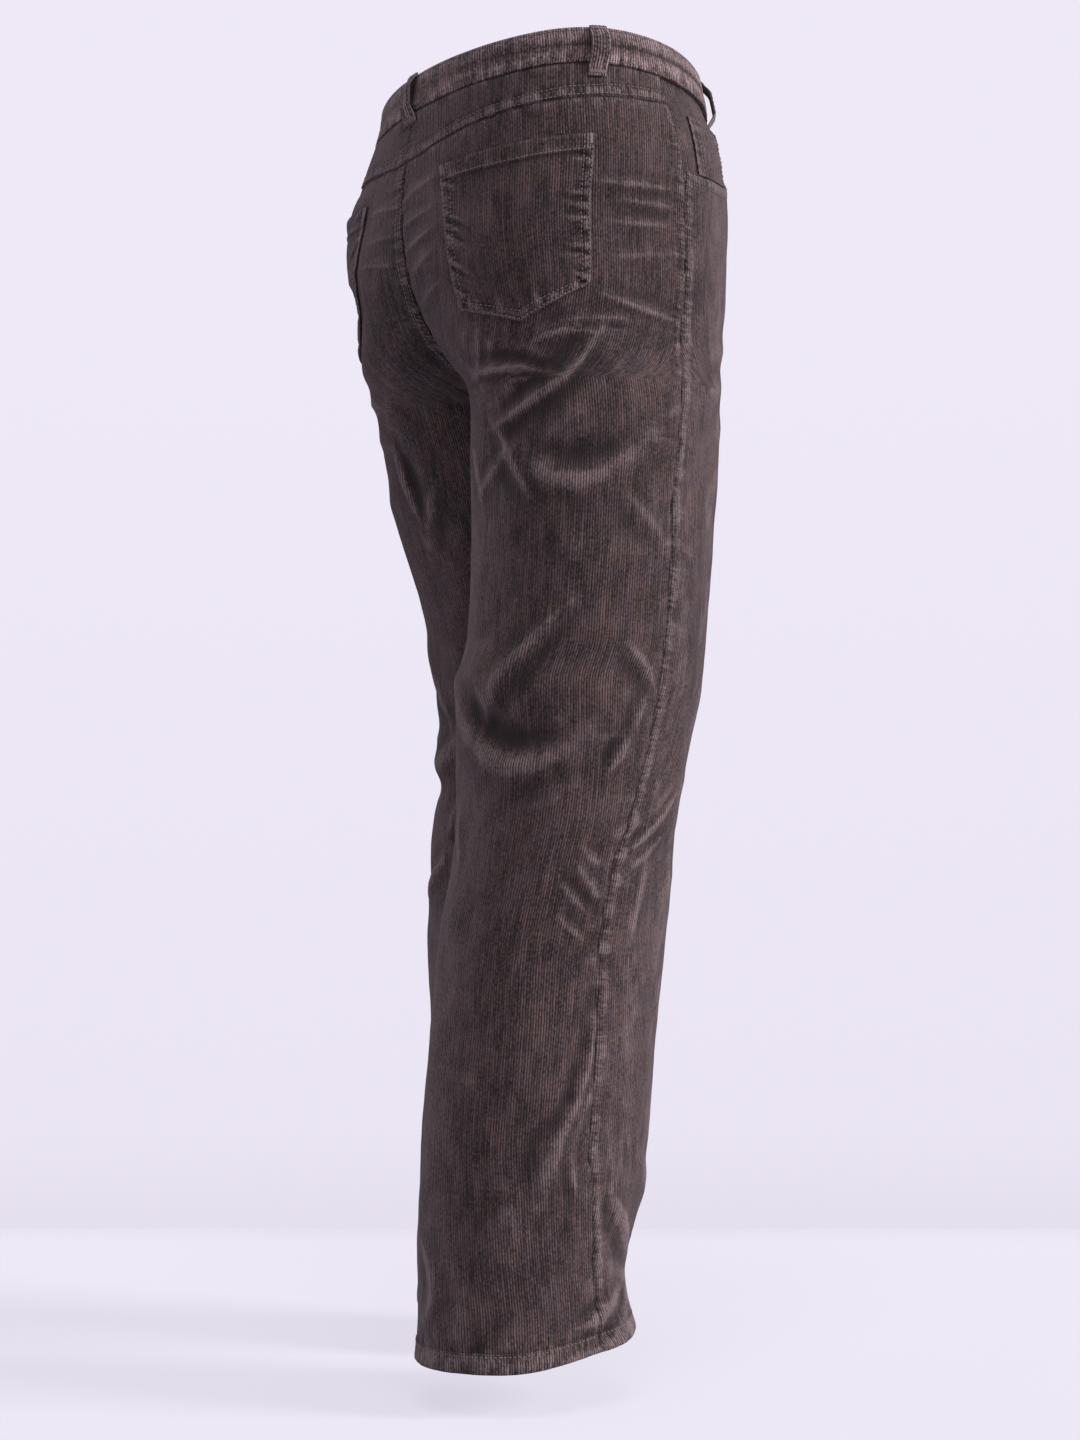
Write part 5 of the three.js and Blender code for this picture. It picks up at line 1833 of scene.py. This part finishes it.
# Lights: the place that they shine from, their spread in degrees, their power and their colour
LIGHTS = named(["name", "from_place", "spread", "power", "colour"], [
    ["key", (-2.4, -2.3, 1.7), 20, 4.6, (1.0, 0.97, 0.96)],
    ["overhead", (-1.1, 0.7, 2.8), 30, 1.45, (1.0, 0.98, 1.0)],
    ["behind", (1.6, 2.4, 0.9), 34, 0.15, (0.95, 0.96, 1.0)],
])
AROUND = {"colour": (0.93, 0.91, 1.0, 1.0), "strength": 0.32}
# The floor's colour as shares: what takes light and shadow, and what glows by itself
FLOOR_SHADED = 0.24
FLOOR_GLOW = 1.315


def add_light(name, from_place, spread, power, colour):
    """A soft light from far away, from the direction of a place."""
    data = bpy.data.lights.new(name, "SUN")
    data.angle = math.radians(spread)
    data.energy = power
    data.color = colour
    light = bpy.data.objects.new(name, data)
    light.location = from_place
    light.rotation_euler = (-Vector(from_place)).to_track_quat("-Z", "Y").to_euler()
    bpy.context.scene.collection.objects.link(light)


def add_camera(stage):
    """The camera, level and turned towards the object."""
    turn = stage.camera_turn
    data = bpy.data.cameras.new("camera")
    data.lens = stage.lens
    data.sensor_width = 36
    camera = bpy.data.objects.new("camera", data)
    camera.location = (-stage.camera_distance * math.sin(turn), stage.camera_distance * math.cos(turn),
                       stage.camera_height)
    camera.rotation_euler = (math.pi / 2, 0, math.pi + turn)
    bpy.context.scene.collection.objects.link(camera)
    bpy.context.scene.camera = camera


def floor_paint(stage, away):
    """Pale paint, with painted shade a little darker where the floor meets the wall."""
    material, graph, shader = new_material("floor_paint")
    place = graph.add("ShaderNodeTexCoord").outputs["Object"]
    clouds = graph.add("ShaderNodeTexNoise", {"Vector": place, "Scale": 3.0, "Detail": 4.0})
    depth = graph.add("ShaderNodeVectorMath", {0: place, 1: (*away, 0.0)}, operation="DOT_PRODUCT")
    # Painted shade along the floor's far edge, where it meets the wall.
    corner = graph.add("ShaderNodeMapRange", {
        "Value": depth.outputs["Value"], "From Min": stage.floor_depth - 0.1,
        "From Max": stage.floor_depth, "To Min": 1.0, "To Max": 0.95}, interpolation_type="SMOOTHSTEP")
    even = graph.math("MULTIPLY", clouds.outputs[0], 0.02)
    tone = graph.math("SUBTRACT", corner.outputs[0], even)
    shade = graph.add("ShaderNodeVectorMath", {
        0: stage.floor_colour[:], "Scale": tone}, operation="SCALE")
    dim = graph.add("ShaderNodeVectorMath", {
        0: shade.outputs[0], "Scale": FLOOR_SHADED}, operation="SCALE")
    graph.feed(shader, {
        "Base Color": dim.outputs[0], "Roughness": 0.9,
        "Emission Color": shade.outputs[0], "Emission Strength": FLOOR_GLOW})
    return material


def add_floor(stage):
    """The floor, from in front of the object to the foot of the wall."""
    away = np.array([math.sin(stage.camera_turn), -math.cos(stage.camera_turn)])
    aside = np.array([away[1], -away[0]])
    mesh = bpy.data.meshes.new("floor")
    corners = [(*(depth * away + side * aside), stage.floor_height)
               for depth, side in ((-4, -6), (-4, 6), (stage.floor_depth, 6), (stage.floor_depth, -6))]
    mesh.from_pydata(corners, [], [(0, 1, 2, 3)])
    mesh.materials.append(floor_paint(stage, away))
    show("floor", mesh)


def add_world(stage):
    """Even light from all round, and a pale wall behind that only the camera sees, with painted shade
    darkening it a little towards the floor.
    """
    world = bpy.data.worlds.new("studio")
    world.use_nodes = True
    graph = Graph(world.node_tree)
    world.node_tree.nodes.clear()
    facing = graph.add("ShaderNodeTexCoord").outputs["Generated"]
    level = graph.add("ShaderNodeSeparateXYZ", {0: facing})
    # Painted shade: the wall darkens a little towards the bottom, most just above the floor.
    low = graph.add("ShaderNodeMapRange", {
        "Value": level.outputs[2], "From Min": -0.172, "From Max": -0.128,
        "To Min": 0.945, "To Max": 1.0}, interpolation_type="SMOOTHSTEP")
    high = graph.add("ShaderNodeMapRange", {
        "Value": level.outputs[2], "From Min": -0.14, "From Max": 0.14, "To Min": 0.96, "To Max": 1.0})
    fading = graph.math("MULTIPLY", low.outputs[0], high.outputs[0])
    seen = graph.add("ShaderNodeBackground", {"Color": rgba(stage.wall_colour), "Strength": fading})
    lighting = graph.add("ShaderNodeBackground", {
        "Color": AROUND["colour"], "Strength": AROUND["strength"]})
    ray = graph.add("ShaderNodeLightPath")
    both = graph.add("ShaderNodeMixShader", {
        0: ray.outputs["Is Camera Ray"], 1: lighting.outputs[0], 2: seen.outputs[0]})
    graph.add("ShaderNodeOutputWorld", {"Surface": both.outputs[0]})
    bpy.context.scene.world = world


def build_stage():
    stage = bpy.context.scene.trousers_stage
    bpy.context.scene.view_settings.view_transform = "Standard"
    add_camera(stage)
    add_floor(stage)
    add_world(stage)
    for light in LIGHTS:
        add_light(**light)


class TROUSERS_OT_fronts(bpy.types.Operator):
    """Lay down the right and left fronts, from the waistband to the hem"""

    bl_idname = "trousers.fronts"
    bl_label = "Fronts"

    def execute(self, context):
        build_panels(-1, "front")
        return {"FINISHED"}


class TROUSERS_OT_backs(bpy.types.Operator):
    """Lay down the right and left backs, from the yoke to the hem"""

    bl_idname = "trousers.backs"
    bl_label = "Backs"

    def execute(self, context):
        build_panels(1, "back")
        return {"FINISHED"}


class TROUSERS_OT_yokes(bpy.types.Operator):
    """Lay down the two back yokes"""

    bl_idname = "trousers.yokes"
    bl_label = "Yokes"

    def execute(self, context):
        build_yokes()
        return {"FINISHED"}


class TROUSERS_OT_waistband(bpy.types.Operator):
    """Lay down the waistband, with the soft fold at its mid height"""

    bl_idname = "trousers.waistband"
    bl_label = "Waistband"

    def execute(self, context):
        build_waistband()
        return {"FINISHED"}


class TROUSERS_OT_belt_loops(bpy.types.Operator):
    """Lay down the five belt loops"""

    bl_idname = "trousers.belt_loops"
    bl_label = "Belt loops"

    def execute(self, context):
        build_belt_loops()
        return {"FINISHED"}


class TROUSERS_OT_back_pockets(bpy.types.Operator):
    """Lay down the two patch pockets on the backs"""

    bl_idname = "trousers.back_pockets"
    bl_label = "Back pockets"

    def execute(self, context):
        build_back_pockets()
        return {"FINISHED"}


class TROUSERS_OT_front_pockets(bpy.types.Operator):
    """Lay down the facings in the front pockets' openings, and the coin pocket"""

    bl_idname = "trousers.front_pockets"
    bl_label = "Front pockets"

    def execute(self, context):
        build_front_pockets()
        return {"FINISHED"}


class TROUSERS_OT_fly(bpy.types.Operator):
    """Lay down the zip with its teeth, and the underlap behind it"""

    bl_idname = "trousers.fly"
    bl_label = "Fly"

    def execute(self, context):
        build_fly()
        return {"FINISHED"}


class TROUSERS_OT_button(bpy.types.Operator):
    """Turn the waist button"""

    bl_idname = "trousers.button"
    bl_label = "Waist button"

    def execute(self, context):
        build_button()
        return {"FINISHED"}


class TROUSERS_OT_sewing(bpy.types.Operator):
    """Sew the rows of stitches and the bartacks"""

    bl_idname = "trousers.sewing"
    bl_label = "Sewing"

    def execute(self, context):
        build_sewing()
        return {"FINISHED"}


class TROUSERS_OT_stage(bpy.types.Operator):
    """Set up the floor, the light and the camera"""

    bl_idname = "trousers.stage"
    bl_label = "Stage"

    def execute(self, context):
        build_stage()
        return {"FINISHED"}


OPERATORS = (
    TROUSERS_OT_fronts,
    TROUSERS_OT_backs,
    TROUSERS_OT_yokes,
    TROUSERS_OT_waistband,
    TROUSERS_OT_belt_loops,
    TROUSERS_OT_back_pockets,
    TROUSERS_OT_front_pockets,
    TROUSERS_OT_fly,
    TROUSERS_OT_button,
    TROUSERS_OT_sewing,
    TROUSERS_OT_stage,
)

SETTINGS = {
    "trousers_cloth": ClothSettings,
    "trousers_colours": ColourSettings,
    "trousers_sewing": SewingSettings,
    "trousers_stage": StageSettings,
}


class TROUSERS_PT_panel(bpy.types.Panel):
    """Sizes, colours and pieces of the trousers"""

    bl_label = "Corduroy Trousers"
    bl_idname = "TROUSERS_PT_panel"
    bl_space_type = "VIEW_3D"
    bl_region_type = "UI"
    bl_category = "Trousers"

    def draw(self, context):
        for name, group in SETTINGS.items():
            box = self.layout.box()
            box.label(text=group.__doc__)
            for setting in group.__annotations__:
                box.prop(getattr(context.scene, name), setting)
        for operator in OPERATORS:
            self.layout.operator(operator.bl_idname)


def register():
    for group in SETTINGS.values():
        bpy.utils.register_class(group)
    for operator in OPERATORS:
        bpy.utils.register_class(operator)
    bpy.utils.register_class(TROUSERS_PT_panel)
    for name, group in SETTINGS.items():
        setattr(bpy.types.Scene, name, PointerProperty(type=group))


def unregister():
    for name in SETTINGS:
        delattr(bpy.types.Scene, name)
    bpy.utils.unregister_class(TROUSERS_PT_panel)
    for operator in reversed(OPERATORS):
        bpy.utils.unregister_class(operator)
    for group in reversed(SETTINGS.values()):
        bpy.utils.unregister_class(group)


def main():
    register()
    bpy.ops.trousers.fronts()
    bpy.ops.trousers.backs()
    bpy.ops.trousers.yokes()
    bpy.ops.trousers.waistband()
    bpy.ops.trousers.belt_loops()
    bpy.ops.trousers.back_pockets()
    bpy.ops.trousers.front_pockets()
    bpy.ops.trousers.fly()
    bpy.ops.trousers.button()
    bpy.ops.trousers.sewing()
    bpy.ops.trousers.stage()


if __name__ == "__main__":
    main()
